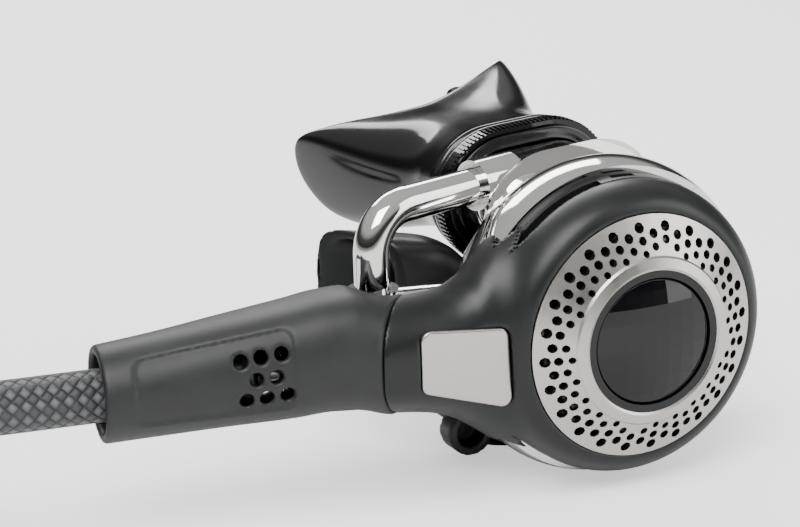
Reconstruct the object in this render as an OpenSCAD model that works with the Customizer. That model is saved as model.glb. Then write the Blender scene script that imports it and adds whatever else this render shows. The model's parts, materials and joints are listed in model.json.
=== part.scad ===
// Second stage of a scuba regulator, lying on a table with its braided hose.
// +Z is up, the purge cover faces -Y, the mouthpiece +Y and the hose leaves to -X.
// The origin is on the table, in the middle of the exhaust tee's foot.
// Inside the modules, Y is measured from the outer edge of the perforated ring.

/* [Case] */
// Largest radius of the chromed case
case_r = 36.1; // [34:0.1:39]
// Distance from the ring's edge to the case's widest place
case_wide_y = 18.6; // [17:0.1:21]
// Wall of the case
case_wall = 1.7; // [1.4:0.1:2.4]
// Where the rim's front face lies
rim_y = 8.6; // [8.2:0.1:9]
// Where the shoulder behind the cover ring lies
shoulder_y = 13.05; // [12.8:0.05:14]

/* [Cover] */
// Outer radius of the perforated ring
ring_r = 27.4; // [26.8:0.1:27.8]
// Inner radius of the perforated ring
ring_bore = 16.05; // [15.6:0.05:16.6]
// Height of the ring's cone
ring_rise = 3.9; // [3:0.1:4.6]
// Number of columns of holes in the perforated ring
ring_columns = 48; // [24:2:60]
// Radius of the smallest holes in the perforated ring
ring_hole_r = 0.8; // [0.5:0.05:1]
// Wall of the cover
cover_wall = 1.8; // [1.4:0.1:2]
// Where the cover's back edge lies on the round part
cover_back_y = 9; // [8.6:0.1:10]
// Where the arm of the cover ends, measured from the axis of the case
arm_end = 60.5; // [56:0.5:64]
// Half width of the badge plate
badge_w = 10.4; // [8:0.1:10.6]
// Radius of the badge plate's corners
badge_r = 2.2; // [1.5:0.1:3]

/* [Purge button] */
// Radius of the purge button
button_r = 14.3; // [13:0.1:14.4]
// Travel of the purge button
button_travel = 3; // [1:0.1:3]
// Radial clearance of the button in its guide
slide_fit = 0.05; // [0.02:0.01:0.1]
// Number of coils of the purge spring
purge_coils = 4; // [3:1:6]

/* [Valve] */
// Where the inlet axis lies behind the ring's edge
inlet_y = 17.5; // [17:0.1:18.5]
// Outer radius of the valve barrel
barrel_r = 6; // [5.8:0.1:6.4]
// Bore of the valve barrel, as a radius
barrel_bore = 4.2; // [4:0.05:4.5]
// Radius of the poppet's stem
stem_r = 1.5; // [1.2:0.1:1.6]
// Radius of the lever's pivot bar
pivot_r = 1.3; // [1:0.05:1.4]
// Number of coils of the poppet spring
poppet_coils = 6; // [4:1:8]
// Radial thickness of the clearances between fixed pieces
fit = 0.05; // [0.03:0.01:0.08]

/* [Mouth side] */
// Roll of the mouth side against the inlet arm
rear_roll = 3; // [0:0.5:4]
// Height of the mouth tube's middle above the axis of the case
mouth_z = 21; // [20:0.5:22]
// Radius of the mouth tube's round ends
mouth_r = 11.5; // [11:0.1:12]
// Half distance between the mouth tube's round ends
mouth_a = 6; // [5:0.5:7]
// Where the mouth tube ends
mouth_end_y = 58; // [56:0.5:60]
// Wall of the mouth tube
mouth_wall = 1.6; // [1.2:0.1:2]
// How far the soft mouthpiece is bent towards the hose
mouth_yaw = 2; // [0:0.5:8]
// How far the soft mouthpiece is turned about its own axis
mouth_turn = 8; // [0:0.5:10]
// Half width of the mouthpiece flange
flange_w = 30.3; // [28:0.1:33]
// Height of the exhaust port's middle below the axis of the case
exhaust_z = 12.5; // [12:0.1:13]
// Radius of the exhaust valve
exhaust_r = 12.2; // [11.5:0.1:12.4]
// Half span of the exhaust tee
tee_span = 50; // [46:0.5:52]

/* [Bypass tube] */
// Outer radius of the bypass tube
bypass_r = 4; // [3.6:0.1:4.2]
// Bore of the bypass tube, as a radius
bypass_bore = 2.8; // [2:0.1:3]
// Bend radius of the bypass tube at its middle
bypass_bend = 9.5; // [9:0.5:12]

/* [Hose] */
// Outer radius of the braided hose
hose_r = 5.7; // [5:0.1:5.8]
// Outer radius of the sleeve's open end
sleeve_end_r = 10.35; // [9.8:0.05:10.8]
// Wall of the sleeve
sleeve_wall = 2; // [1.6:0.1:2.4]
// Outer radius of the thread on the hose's far end
thread_r = 4.76; // [4:0.01:5]
// Length of that thread
thread_len = 9.5; // [7:0.5:11]

/* [Hidden] */
$fn = 64;
rim_r = ring_r + 2.1;               // the case's front rim, under the cover
cover_r = ring_r + 5.9;             // the cover's round part
case_edge_r = 15.4;                 // round between the case's side and its flat back
case_flat = case_r - case_edge_r;   // radius of the flat back
case_back_y = case_wide_y + case_edge_r;
axis_h = case_r;                    // height of the case's axis above the table
foot_y = 44;                        // middle of the foot behind the ring's edge
seal = 0.3;                         // gap beside a piece that moves
// front group
guide_wall = 1.65;
guide_lip_y = -3.2;                 // the ring's flat back, which the guide's lip meets
hub_y = 2.2;                        // front of the guide's spider
hub_t = 1.3;
stem_end_y = 6.9;                   // end of the button's stem
plate_y = stem_end_y + seal;
plate_t = 0.9;
plate_r = 11;
bead_r = 1.45;                      // half width of the diaphragm's bead
bead_t = 2;
slip_t = 0.5;
lip_t = 1.2;
lip_back_y = rim_y - bead_t - slip_t;
button_stem_r = 2.5;
purge_r = 5;
purge_wire = 0.45;
// inlet group, measured along the inlet from the axis of the case
barrel_tip = 2;
barrel_wall_u = 7.3;                // barrel's inner end wall
barrel_wall_t = 1.2;
flange_u = 36;
flange_t = 3;
housing_from = 34;                  // the housing is thick only outside the cover ring
housing_step = 46;
housing_end = 58;
housing_r = 11;
neck_r = barrel_r + 1.4;            // boss that carries the barrel through the rim
barrel_end = 66;
barrel_thread_r = 6.2;
nut_from = 58.4;
nut_to = 69.6;
nut_af = 13.8;
orifice_from = 24;
orifice_to = 32;
seat_t = 2;
seat_r = 3.2;
poppet_head_to = 19;
pivot_u = 6;
pivot_off = 3;                      // pivot bar behind the inlet axis
locknut_from = 2.2;
locknut_to = 4.35;
lever_z = 6.9;
lever_tip = [8, plate_y + plate_t + seal + 1.1];
spring_wire = 0.35;
spring_r = 2.45;
// hose line: bends back by the sweep where the nut ends
sleeve_x = 60;                      // where the sleeve's own axis leaves the inlet axis
sweep = 9.3;
hose_x = nut_to + 0.4;              // where the hose bends off the inlet axis
hose_sweep = 11;
ferrule_r = 7;
ferrule_from = 1.5;
ferrule_to = 15;
sleeve_end = 57;
// bypass tube
foot_x = -52;
foot_by = 26.5;
bypass_foot_z = 7;
bypass_top_z = 29.5;
bypass_dir = 13.5;                  // plan angle of the tube's upper leg
bypass_len = 33.5;                  // plan length from the foot's axis to the tube's end
boss_r = 5.7;
cheek_at = [-12, 34, 24.5];         // round cheek between the mouth tube and the upper boss
cheek_r = 9.5;
// mouth side
neck_y = 47.4;
clamp_y = 48.7;
clamp_w = 3.8;
clamp_t = 1.3;
neck_wall = 2.8;
// hose end
coil_c = [-198, 53];                // middle of the coil on the table
coil_in = 56;
coil_step = 12.6;
coil_turns = 1.25;
coil_from = 250;
coil_n = 30;
coil_z = hose_r * cos(30);
tail_len = 26;                      // straight piece after the last turn
end_rise = 3.4;                     // the tail lifts to carry the wider ferrule
hex_af = 14;
ferrule_len = 18;
hex_len = 8;

// Hose route from the ferrule to the coil, in the part's own frame
route = [
  [-95, -21.7, 36.1], [-106, -19.6, 36.1], [-117, -17.5, 36.1], [-129, -15.2, 36],
  [-139, -13.5, 36], [-147, -12, 35.5], [-155, -10.8, 34], [-163, -9.5, 31.2], [-170, -8.3, 28],
  [-177, -7.2, 23.8], [-184, -6, 19], [-190, -5, 14.8], [-196, -4, 11], [-202, -3, 8],
  [-208, -1.8, 5.8]
];

// ---- placing ----
module placed() translate([0, -foot_y, axis_h]) children();
module about_case() rotate([-90, 0, 0]) children();
module turned(n = 96) about_case() rotate_extrude($fn = n) children();
// children's +Z runs from the case's axis out along the inlet
module along_inlet(u = 0) translate([-u, inlet_y, 0]) rotate([0, -90, 0]) children();
// children's +Z runs along the sleeve
module along_sleeve() translate([-sleeve_x, inlet_y, 0]) rotate([0, 0, -sweep]) rotate([0, -90, 0]) children();
// children's +Z runs along the hose, from the end of its nut
module along_hose() translate([-hose_x, inlet_y, 0]) rotate([0, 0, -hose_sweep]) rotate([0, -90, 0]) children();
module rolled() rotate([0, -rear_roll, 0]) children();
module at_mouth() rolled() translate([0, 0, mouth_z]) children();
// upper leg of the bypass tube: children's +Z runs along it towards the mouth tube
module along_bypass(d = 0) translate([foot_x, foot_by, bypass_top_z]) rotate([0, 0, bypass_dir])
  translate([d, 0, 0]) rotate([0, 90, 0]) children();

// ---- helpers ----
function arc(cx, cy, rx, ry, a0, a1, n = 18) =
  [for (i = [0:n]) let(a = a0 + (a1 - a0) * i / n) [cx + rx * cos(a), cy + ry * sin(a)]];
module tube(r, bore, h) difference() {
  cylinder(r = r, h = h);
  translate([0, 0, -1]) cylinder(r = bore, h = h + 2);
}
module torus(major, minor) rotate_extrude($fn = 64) translate([major, 0]) circle(r = minor, $fn = 24);
module hex(af, h) cylinder(r = af / 2 / cos(30), h = h, $fn = 6);
// outline of two round ends joined by straight sides
module obround(a, r) {
  for (x = [-a, a]) translate([x, 0]) circle(r = r);
  square([2 * a, 2 * r], center = true);
}
module mouth_tube(y0, y1, r) translate([0, y0, 0]) rotate([-90, 0, 0])
  linear_extrude(y1 - y0) obround(mouth_a, r);
// tube through a closed list of rings, each a list of points; ends capped unless it is a loop
module skin(rings, loop = false) {
  m = len(rings);
  n = len(rings[0]);
  pts = [for (r = rings) each r];
  side = [for (j = [0:m - (loop ? 1 : 2)], i = [0:n - 1], k = [0, 1])
    let(a = j * n + i, b = j * n + (i + 1) % n, c = ((j + 1) % m) * n + i, d = ((j + 1) % m) * n + (i + 1) % n)
    k == 0 ? [a, c, b] : [b, c, d]];
  caps = loop ? [] : concat(
    [for (i = [1:n - 2]) [0, i, i + 1]],
    [for (i = [1:n - 2]) [(m - 1) * n, (m - 1) * n + i + 1, (m - 1) * n + i]]);
  polyhedron(points = pts, faces = concat(side, caps));
}
// superellipse ring in the plane of u and v, with its own half sizes up and down
function sgn_pow(x, p) = sign(x) * pow(abs(x), p);
function oval(hu, up, dn, e, n) = [for (i = [0:n - 1]) let(a = 360 * i / n)
  [hu * sgn_pow(cos(a), 2 / e), (sin(a) >= 0 ? up : dn) * sgn_pow(sin(a), 2 / e)]];
function unit(v) = v / norm(v);
function dir_at(p, i) = unit(p[min(i + 1, len(p) - 1)] - p[max(i - 1, 0)]);
// rings of a round tube along a list of points
function tube_rings(p, r, n, first, last) = [for (i = [0:len(p) - 1])
  let(t = i == 0 ? first : i == len(p) - 1 ? last : dir_at(p, i),
      s = unit(cross([0, 0, 1], t)), u = cross(t, s))
  [for (k = [0:n - 1]) let(a = 360 * k / n) p[i] + r * (cos(a) * s + sin(a) * u)]];
function coil_points(coils, per, r, h) = [for (i = [0:coils * per])
  [r * cos(360 * i / per), r * sin(360 * i / per), h * i / (coils * per)]];
// least distance between neighbouring turns of a helix of round wire
function helix_gap(h, coils, wire) = h / coils - 2 * wire;

// ---- case ----
module case_shape(inset) intersection() {
  union() {
    translate([case_flat, case_wide_y]) circle(r = case_edge_r - inset);
    square([case_flat, case_wide_y + case_edge_r - inset]);
  }
  translate([0, shoulder_y + inset]) square([case_r, 60]);
}
module case_inside() {
  turned() case_shape(case_wall);
  turned() translate([0, rim_y - 1]) square([rim_r - 2 * bead_r - 0.1, shoulder_y - rim_y + 4]);
}
module exhaust_port() translate([0, 0, -exhaust_z]) about_case() translate([0, 0, case_back_y - 2])
  cylinder(r = exhaust_r + 1.3, h = 4);
module case_body() color("#c8c8c6") placed() difference() {
  union() {
    difference() {
      union() {
        turned() case_shape(0);
        turned() translate([0, rim_y]) square([rim_r, shoulder_y - rim_y + 0.5]);
        // mouth tube with its flared foot and end lip
        at_mouth() {
          mouth_tube(28, mouth_end_y, mouth_r);
          mouth_tube(mouth_end_y - 1.4, mouth_end_y, mouth_r + 0.7);
          for (x = [-mouth_a, mouth_a]) translate([x, 28, 0]) rotate([-90, 0, 0])
            cylinder(r1 = mouth_r + 4.5, r2 = mouth_r, h = 11);
          rotate([90, 0, 90]) translate([0, 0, -mouth_a]) linear_extrude(2 * mouth_a)
            polygon([[28, -mouth_r - 4.5], [39, -mouth_r], [39, mouth_r], [28, mouth_r + 4.5]]);
        }
        rolled() exhaust_port();
        // inlet housing, the bypass tube's lower boss and the rib between it and the case
        along_inlet(20) cylinder(r = neck_r, h = housing_end - 20);
        along_inlet(housing_from) cylinder(r = housing_r, h = housing_step - housing_from);
        along_inlet(housing_step) cylinder(r1 = housing_r, r2 = housing_r - 1.8, h = 1.8);
        along_inlet(housing_step) cylinder(r = housing_r - 1.8, h = housing_end - housing_step);
        translate([foot_x, foot_by, 1]) cylinder(r = boss_r, h = 11.5);
        translate([foot_x, foot_by - 1, 8]) rotate([0, 0, -16]) rotate([0, 90, 0]) cylinder(r = 4.4, h = 20);
        // the upper boss and the round cheek that carries it
        along_bypass(bypass_len - 4) cylinder(r = boss_r, h = 11);
        translate(cheek_at) sphere(r = cheek_r);
      }
      case_inside();
    }
    // boss that the barrel's nut bears on, standing into the case
    along_inlet(26) cylinder(r = neck_r, h = 9);
  }
  at_mouth() mouth_tube(29.5, mouth_end_y + 1, mouth_r - mouth_wall);
  along_inlet(20) cylinder(r = barrel_r + fit, h = 20);
  along_inlet(flange_u) cylinder(r = barrel_r + 2 + fit, h = 30);
  // passage from the space round the barrel to the bypass tube
  translate([foot_x, foot_by, 2.4]) cylinder(r = bypass_bore, h = 6);
  translate([foot_x, foot_by + 0.5, 4.4]) rotate([90, 0, 0]) cylinder(r = 1.9, h = 5);
  translate([foot_x, foot_by, bypass_foot_z]) cylinder(r = bypass_r + fit, h = 12);
  translate([foot_x, foot_by, bypass_foot_z + 2.4]) cylinder(r = bypass_r + 1.05, h = 1.2);
  along_bypass(bypass_len - 6) cylinder(r = bypass_r + fit, h = 6);
  along_bypass(bypass_len - 2.8) cylinder(r = bypass_r + 1.05, h = 1.2);
  along_bypass(bypass_len - 1) cylinder(r = bypass_bore, h = 9.5);
  rolled() translate([0, 0, -exhaust_z]) about_case() {
    translate([0, 0, 30]) cylinder(r = 1.6, h = 10);
    for (a = [0:60:300]) rotate(a + 30) translate([7.6, 0, 30]) cylinder(r = 3, h = 10);
  }
}

// ---- cover side ----
module cover_ring() color("#1b1c1d") placed() difference() {
  turned() polygon([
    [rim_r + fit, shoulder_y], [rim_r + fit, lip_back_y], [rim_r - 2 * bead_r, lip_back_y],
    [rim_r - 2 * bead_r, lip_back_y - lip_t], [rim_r + 0.1, lip_back_y - lip_t],
    [rim_r + 1.1, lip_back_y + 0.3], [rim_r + 1.1, cover_back_y + 0.1], [cover_r, cover_back_y + 0.1],
    [cover_r + 0.2, shoulder_y - 1], [cover_r - 0.2, shoulder_y]]);
  // long slot and short window behind the cover's edge, on the side of the hose
  ring_slot(98, 137, cover_back_y - 0.5, 2.6, 1.7);
  ring_slot(82, 92, cover_back_y + 1.3, 1.8, 1);
  // notch that clears the boss of the inlet
  along_inlet(20) cylinder(r = neck_r + seal, h = 20);
}
module ring_slot(from, to, y, h, deep) rotate([-90, -to, 0]) translate([0, 0, y])
  rotate_extrude(angle = to - from, $fn = 96) translate([cover_r + 0.2 - deep, 0]) square([deep + 1, h]);
module slip_ring() color("#d8d4c8") placed() turned()
  translate([rim_r - 2 * bead_r, rim_y - bead_t - slip_t]) square([2 * bead_r - 0.1, slip_t]);
module diaphragm() color("#6d7377") placed() turned() {
  translate([rim_r - 2 * bead_r, rim_y - bead_t]) square([2 * bead_r - 0.1, bead_t]);
  // one roll between the bead and the flat web, bulging to the front
  web = 0.8;
  roll = [rim_r - 5.9, plate_y + 0.4];
  in = plate_r + seal;
  out = rim_r - 2 * bead_r + 0.1;
  polygon(concat([[out, plate_y]], arc(roll[0], roll[1], 2.2, 2.2, -10, -170, 12),
    [[in, plate_y], [in, plate_y + web], [roll[0] - 1.4, plate_y + web]],
    arc(roll[0], roll[1], 1.4, 1.4, -180, 0, 12), [[roll[0] + 1.4, plate_y + web], [out, plate_y + web]]));
}
module diaphragm_plate() color("#a9acae") placed() turned() polygon([
  [0, plate_y], [plate_r - 0.6, plate_y], [plate_r, plate_y + 0.3], [plate_r, plate_y + plate_t],
  [0, plate_y + plate_t]]);

// half heights of the cover's arm over and under the inlet axis, at distances from the case's axis
arm_at = [61, 56, 51, 46, 42, 38, 34, 30, 26, 22];
arm_up = [12.9, 13.1, 13.2, 13.3, 13.7, 15.4, 19.2, 22.4, 24.5, 26];
arm_dn = [11.8, 12.5, 13.3, 14.4, 15.8, 17.8, 20.6, 23.6, 25.8, 27.4];
arm_front = [5.2, 5, 4.8, 4.6, 4.4, 4.1, 3.8, 3.6, 3.6, 3.8];
arm_back_y = 16;
joint_tilt = 41;                    // the joint between arm and sleeve leans back towards the case
function arm_ring(i, inset) = let(
    up = arm_up[i] - inset, dn = arm_dn[i] - inset, deep = arm_back_y + 4 - arm_front[i] - inset)
  [for (p = oval(deep, dn, up, 2.7, 40)) [-arm_at[i] + over(i, inset), arm_back_y + 4 - p[0], 0.6 - p[1]]];
// the inner loft runs a little past both ends of the outer one
function over(i, inset) = inset == 0 ? 0 : i == 0 ? -1 : i == len(arm_at) - 1 ? 1 : 0;
module arm_loft(inset) skin([for (i = [0:len(arm_at) - 1]) arm_ring(i, inset)]);
// everything behind the slanted joint between the cover's arm and the sleeve
module past_joint() translate([-arm_end, 5, 0]) rotate([0, 0, -joint_tilt]) translate([-60, -60, -60])
  cube([60, 120, 120]);
module cover_outer() turned() polygon(concat(
  [[ring_r + 0.1, 0.1]],
  arc(ring_r + 0.1, cover_back_y, cover_r - ring_r - 0.1, cover_back_y - 0.1, -90, 0, 14),
  [[ring_r + 0.1, cover_back_y]]));
module cover_inner() turned() polygon(concat(
  [[ring_r - 1.5, 2.5]],
  arc(ring_r - 0.6, cover_back_y + 1, cover_r - cover_wall - ring_r + 0.6, cover_back_y - 1.5, -90, 0, 14),
  [[0, cover_back_y + 1], [0, 2.5]]));
module front_cover() color("#222325") placed() {
  difference() {
    union() {
      cover_outer();
      difference() {
        arm_loft(0);
        arm_loft(cover_wall);
        // open behind, and round where it meets the case
        translate([-100, arm_back_y, -60]) cube([120, 60, 120]);
        turned() translate([0, -10]) square([cover_r - cover_wall, 60]);
        turned() translate([0, cover_back_y]) square([cover_r + 2 * seal, 60]);
        turned() translate([0, shoulder_y - 0.4]) square([case_r + seal, 60]);
        past_joint();
      }
      turned() polygon([[ring_r - 1.6, 1.3], [ring_r + 0.4, 1.3], [ring_r + 1.2, 3], [ring_r - 1.6, 2.6]]);
    }
    cover_inner();
    // seat of the perforated ring
    turned() translate([0, -8]) square([ring_r + 0.1, 9.3]);
    turned() translate([0, -8]) square([ring_r - 1.6, 20]);
    // recess of the badge plate
    badge_shape(0.15, 0.9);
  }
}
// the badge stands on the arm's front and leans with it
module badge_shape(grow, t) translate([-40.9, arm_front[4] - 0.4, -0.7]) rotate([90, 0, 0]) rotate([0, -4, 0])
  translate([0, 0, -t]) linear_extrude(t + (grow > 0 ? 6 : 0)) badge_outline(grow);
// corners of the badge, which is taller on the side of the case
badge_corners = [[-1, 8.9], [0.95, 7.2], [1, -10.6], [-1, -5.3]];
module badge_outline(grow) hull() for (c = badge_corners)
  translate([c[0] * badge_w - sign(c[0]) * badge_r, c[1] - sign(c[1]) * badge_r])
    circle(r = badge_r + grow, $fn = 32);
module badge_plate() color("#b9b6b2") placed() badge_shape(0, 0.8);

module perforated_ring() color("#bdbab6") placed() difference() {
  turned() polygon([
    [ring_r, 0], [ring_bore + 3, -ring_rise - 0.15], [ring_bore + 2.6, -ring_rise - 0.7],
    [ring_bore + 0.55, -ring_rise - 1.3], [ring_bore, -ring_rise - 1],
    [ring_bore, guide_lip_y], [ring_bore + 2.85, guide_lip_y], [ring_bore + 2.85, guide_lip_y + 0.3],
    [ring_r - 1.2, 0.75], [ring_r, 1.2]]);
  // columns of three and two holes by turns, growing outwards
  for (k = [0:ring_columns - 1], j = [0:2])
    if (k % 2 == 0 || j < 2) {
      r = k % 2 == 0 ? 19.7 + 2.65 * j : 20.9 + 2.65 * j;
      rotate([0, -360 * k / ring_columns - 3.1, 0]) translate([r, 3, 0]) rotate([90, 0, 0])
        cylinder(r = ring_hole_r + (r - 19.7) * 0.075, h = 10, $fn = 8);
    }
}
module button_guide() color("#101112") placed() {
  turned() polygon([
    [button_r + slide_fit, -ring_rise - 0.9], [ring_bore - fit, -ring_rise - 0.9], [ring_bore - fit, guide_lip_y],
    [ring_bore + 2.4, guide_lip_y], [ring_bore + 2.4, guide_lip_y + 1.2], [ring_bore - fit, guide_lip_y + 1.2],
    [ring_bore - fit, hub_y + hub_t], [button_r + slide_fit, hub_y + hub_t]]);
  // spider that carries the spring and guides the button's stem
  difference() {
    union() {
      about_case() translate([0, 0, hub_y]) cylinder(r = purge_r + 1.4, h = hub_t);
      for (a = [90, 210, 330]) rotate([0, a, 0]) translate([0, hub_y, -1.2]) cube([button_r + 0.6, hub_t, 2.4]);
    }
    about_case() translate([0, 0, hub_y - 1]) cylinder(r = button_stem_r + slide_fit, h = hub_t + 2);
  }
}
button_edge_y = -ring_rise - 0.4;
button_dome = 1.9;                  // rise of the button's domed face
module purge_button() color("#0b0b0c") placed() {
  turned() polygon([
    [0, button_edge_y], [button_r - 0.5, button_edge_y], [button_r, button_edge_y + 0.5],
    [button_r, hub_y - button_travel - seal], [button_r - 1.5, hub_y - button_travel - seal],
    [button_r - 1.5, button_edge_y + 1.6], [button_stem_r, button_edge_y + 1.2], [button_stem_r, stem_end_y],
    [0, stem_end_y]]);
  cap_r = button_r - 0.5;
  dome_r = (cap_r * cap_r + button_dome * button_dome) / (2 * button_dome);
  intersection() {
    about_case() translate([0, 0, button_edge_y - button_dome - 1]) cylinder(r = cap_r, h = button_dome + 1.5);
    translate([0, button_edge_y - button_dome + dome_r, 0]) sphere(r = dome_r, $fn = 96);
  }
}
purge_back = button_edge_y + 1.4;
module purge_spring() color("#8f9294") placed() about_case() translate([0, 0, purge_back + purge_wire + 0.15]) {
  h = hub_y - purge_back - 2 * purge_wire - 0.25;
  p = coil_points(purge_coils, 8, purge_r, h);
  echo(str("purge spring, least gap between turns: ", helix_gap(h, purge_coils, purge_wire), " mm"));
  skin(tube_rings(p, purge_wire, 6, dir_at(p, 0), dir_at(p, len(p) - 1)));
}

// ---- valve, along the inlet ----
module valve_barrel() color("#b59a5b") placed() difference() {
  along_inlet() rotate_extrude($fn = 96) polygon([
    [barrel_bore, barrel_tip], [barrel_r, barrel_tip], [barrel_r, flange_u], [barrel_r + 2, flange_u],
    [barrel_r + 2, flange_u + flange_t], [barrel_thread_r, flange_u + flange_t], [barrel_thread_r, barrel_end],
    [barrel_bore + 1.1, barrel_end], [barrel_bore + 1.1, barrel_end - 9], [barrel_bore, barrel_end - 10],
    [barrel_bore, barrel_wall_u + barrel_wall_t], [stem_r + 0.3, barrel_wall_u + barrel_wall_t],
    [stem_r + 0.3, barrel_wall_u], [barrel_bore, barrel_wall_u]]);
  translate([-pivot_u, inlet_y + pivot_off, -10]) cylinder(r = pivot_r + slide_fit, h = 20);
}
module barrel_nut() color("#b8b9ba") placed() along_inlet(21.8) difference() {
  rotate(30) hex(14.2, 3.7);
  translate([0, 0, -1]) cylinder(r = barrel_r + fit, h = 6);
}
module inlet_orifice() color("#b59a5b") placed() along_inlet() rotate_extrude($fn = 64) polygon([
  [1.7, orifice_from + 1], [2.2, orifice_from], [2.6, orifice_from], [3.1, orifice_from + 1.2],
  [barrel_bore - fit, orifice_from + 1.2], [barrel_bore - fit, orifice_from + 4], [3.15, orifice_from + 4],
  [3.15, orifice_from + 5.3], [barrel_bore - fit, orifice_from + 5.3], [barrel_bore - fit, orifice_to],
  [2.6, orifice_to], [1.7, orifice_to - 2]]);
module orifice_oring() color("#151515") placed() along_inlet(orifice_from + 4.65) torus(3.67, 0.47);
module poppet() color("#d9d6c9") placed() along_inlet() {
  rotate_extrude($fn = 64) polygon([
    [0, -1], [stem_r, -1], [stem_r, poppet_head_to], [barrel_bore - seal, poppet_head_to],
    [barrel_bore - seal, orifice_from - 0.6], [seat_r + fit, orifice_from - 0.6],
    [seat_r + fit, orifice_from - seat_t], [0, orifice_from - seat_t]]);
}
module poppet_seat() color("#20211f") placed() along_inlet(orifice_from - seat_t) cylinder(r = seat_r, h = seat_t);
module poppet_spring() color("#8f9294") placed() along_inlet(barrel_wall_u + barrel_wall_t + spring_wire + 0.05) {
  h = poppet_head_to - barrel_wall_u - barrel_wall_t - 2 * spring_wire - 0.1;
  p = coil_points(poppet_coils, 8, spring_r, h);
  echo(str("poppet spring, least gap between turns: ", helix_gap(h, poppet_coils, spring_wire), " mm"));
  skin(tube_rings(p, spring_wire, 6, dir_at(p, 0), dir_at(p, len(p) - 1)));
}
module poppet_locknut() color("#ecebe6") placed() along_inlet(locknut_from) difference() {
  hex(5, locknut_to - locknut_from);
  translate([0, 0, -1]) cylinder(r = stem_r + fit, h = 5);
}
module demand_lever() color("#a7a9ab") placed() {
  pivot = [-pivot_u, inlet_y + pivot_off];
  elbow = [0.8, inlet_y - 2.3];
  arm_t = 1.2;
  translate([pivot[0], pivot[1], -lever_z - arm_t / 2]) cylinder(r = pivot_r, h = 2 * lever_z + arm_t);
  for (side = [-1, 1]) {
    // cam beside the poppet's stem
    translate([pivot[0] - 0.8, inlet_y - 0.6, side > 0 ? stem_r + 0.35 : -stem_r - 1.25])
      cube([0.8 + pivot_u - locknut_to - seal, pivot_off + 0.6, 0.9]);
    // outer arm, then the taper to the tip
    translate([0, 0, side * lever_z - arm_t / 2]) linear_extrude(arm_t) hull() {
      translate(pivot) circle(r = 1.9, $fn = 24);
      translate(elbow) circle(r = 1.3, $fn = 24);
    }
    hull() {
      translate([elbow[0], elbow[1], side * lever_z - arm_t / 2]) cylinder(r = 1.3, h = arm_t, $fn = 16);
      translate([lever_tip[0], lever_tip[1], side * 2 - arm_t / 2]) cylinder(r = 1.1, h = arm_t, $fn = 16);
    }
  }
  translate([lever_tip[0], lever_tip[1], -2.6]) cylinder(r = 1.1, h = 5.2);
}

// ---- exhaust ----
module exhaust_valve() color("#3a3f44") placed() rolled() translate([0, 0, -exhaust_z]) turned(64) polygon([
  [0, case_back_y - 4.6], [1, case_back_y - 4.4], [2.1, case_back_y - case_wall - 0.4],
  [1.5, case_back_y - case_wall - 0.1], [1.5, case_back_y + 2], [exhaust_r, case_back_y + 2],
  [exhaust_r, case_back_y + 2.5], [3, case_back_y + 3.4], [0, case_back_y + 3.6]]);
// half of the tee: where each section stands, its middle, half depth, top and bottom
tee_x = [0, 9, 16, 22, 26, 31, 36, 45];
tee_y = [44.6, 44.8, 45.4, 46.4, 47.2, 48.4, 49.8, 52];
tee_d = [9.9, 9.7, 9.2, 8.6, 8.2, 7.9, 7.6, 7.3];
tee_top = [3.6, 3.4, 4.2, 8, 11.5, 13.2, 13.8, 14.6];
tee_bot = [-38, -38, -37, -33, -30, -26, -21.5, -13.5];
tee_slant = 5.6;                    // how far the back of each end stands past its middle
tee_turn = 6;                       // the tee is turned on its port, the hose side up
tee_wall = 2;
lug_at = [25.2, 32.5, -29.7];
lug_r = 5.4;
module tee_half(inset, more) skin([for (i = [0:len(tee_x) - 1])
  let(top = tee_top[i] - inset, bot = max(tee_bot[i], inset > 0 ? -axis_h : -100) + inset,
      mid = (top + bot) / 2, half = (top - bot) / 2, last = i == len(tee_x) - 1,
      x = tee_x[i] * tee_span / 50 + (i == 0 ? -0.2 : last ? more : 0))
  [for (p = oval(tee_d[i] - inset, half, half, 4, 32))
    [x + (last ? tee_slant * p[0] / tee_d[i] : 0), tee_y[i] + p[0], mid + p[1]]]]);
module tee_turned() rolled() translate([0, 0, -exhaust_z]) rotate([0, tee_turn, 0]) translate([0, 0, exhaust_z])
  children();
module exhaust_tee() color("#18191a") placed() difference() {
  tee_turned() for (m = [0, 1]) mirror([m, 0, 0]) difference() {
    union() {
      tee_half(0, 0);
      // lug and the web that joins it to the wall
      translate(lug_at) rotate([-90, 0, 0]) cylinder(r = lug_r, h = 6);
      translate([lug_at[0] - 6, lug_at[1] + 2, lug_at[2] - 2.4]) cube([7, 9, 5]);
    }
    tee_half(tee_wall, 1);
    translate([lug_at[0], lug_at[1] - 1, lug_at[2]]) rotate([-90, 0, 0]) cylinder(r = lug_r - 2, h = 6);
  }
  rolled() translate([0, 30, -exhaust_z]) rotate([-90, 0, 0]) cylinder(r = exhaust_r + 1.3 + fit, h = 9);
  translate([-60, 0, -axis_h - 20]) cube([120, 90, 20]);
}

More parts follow.
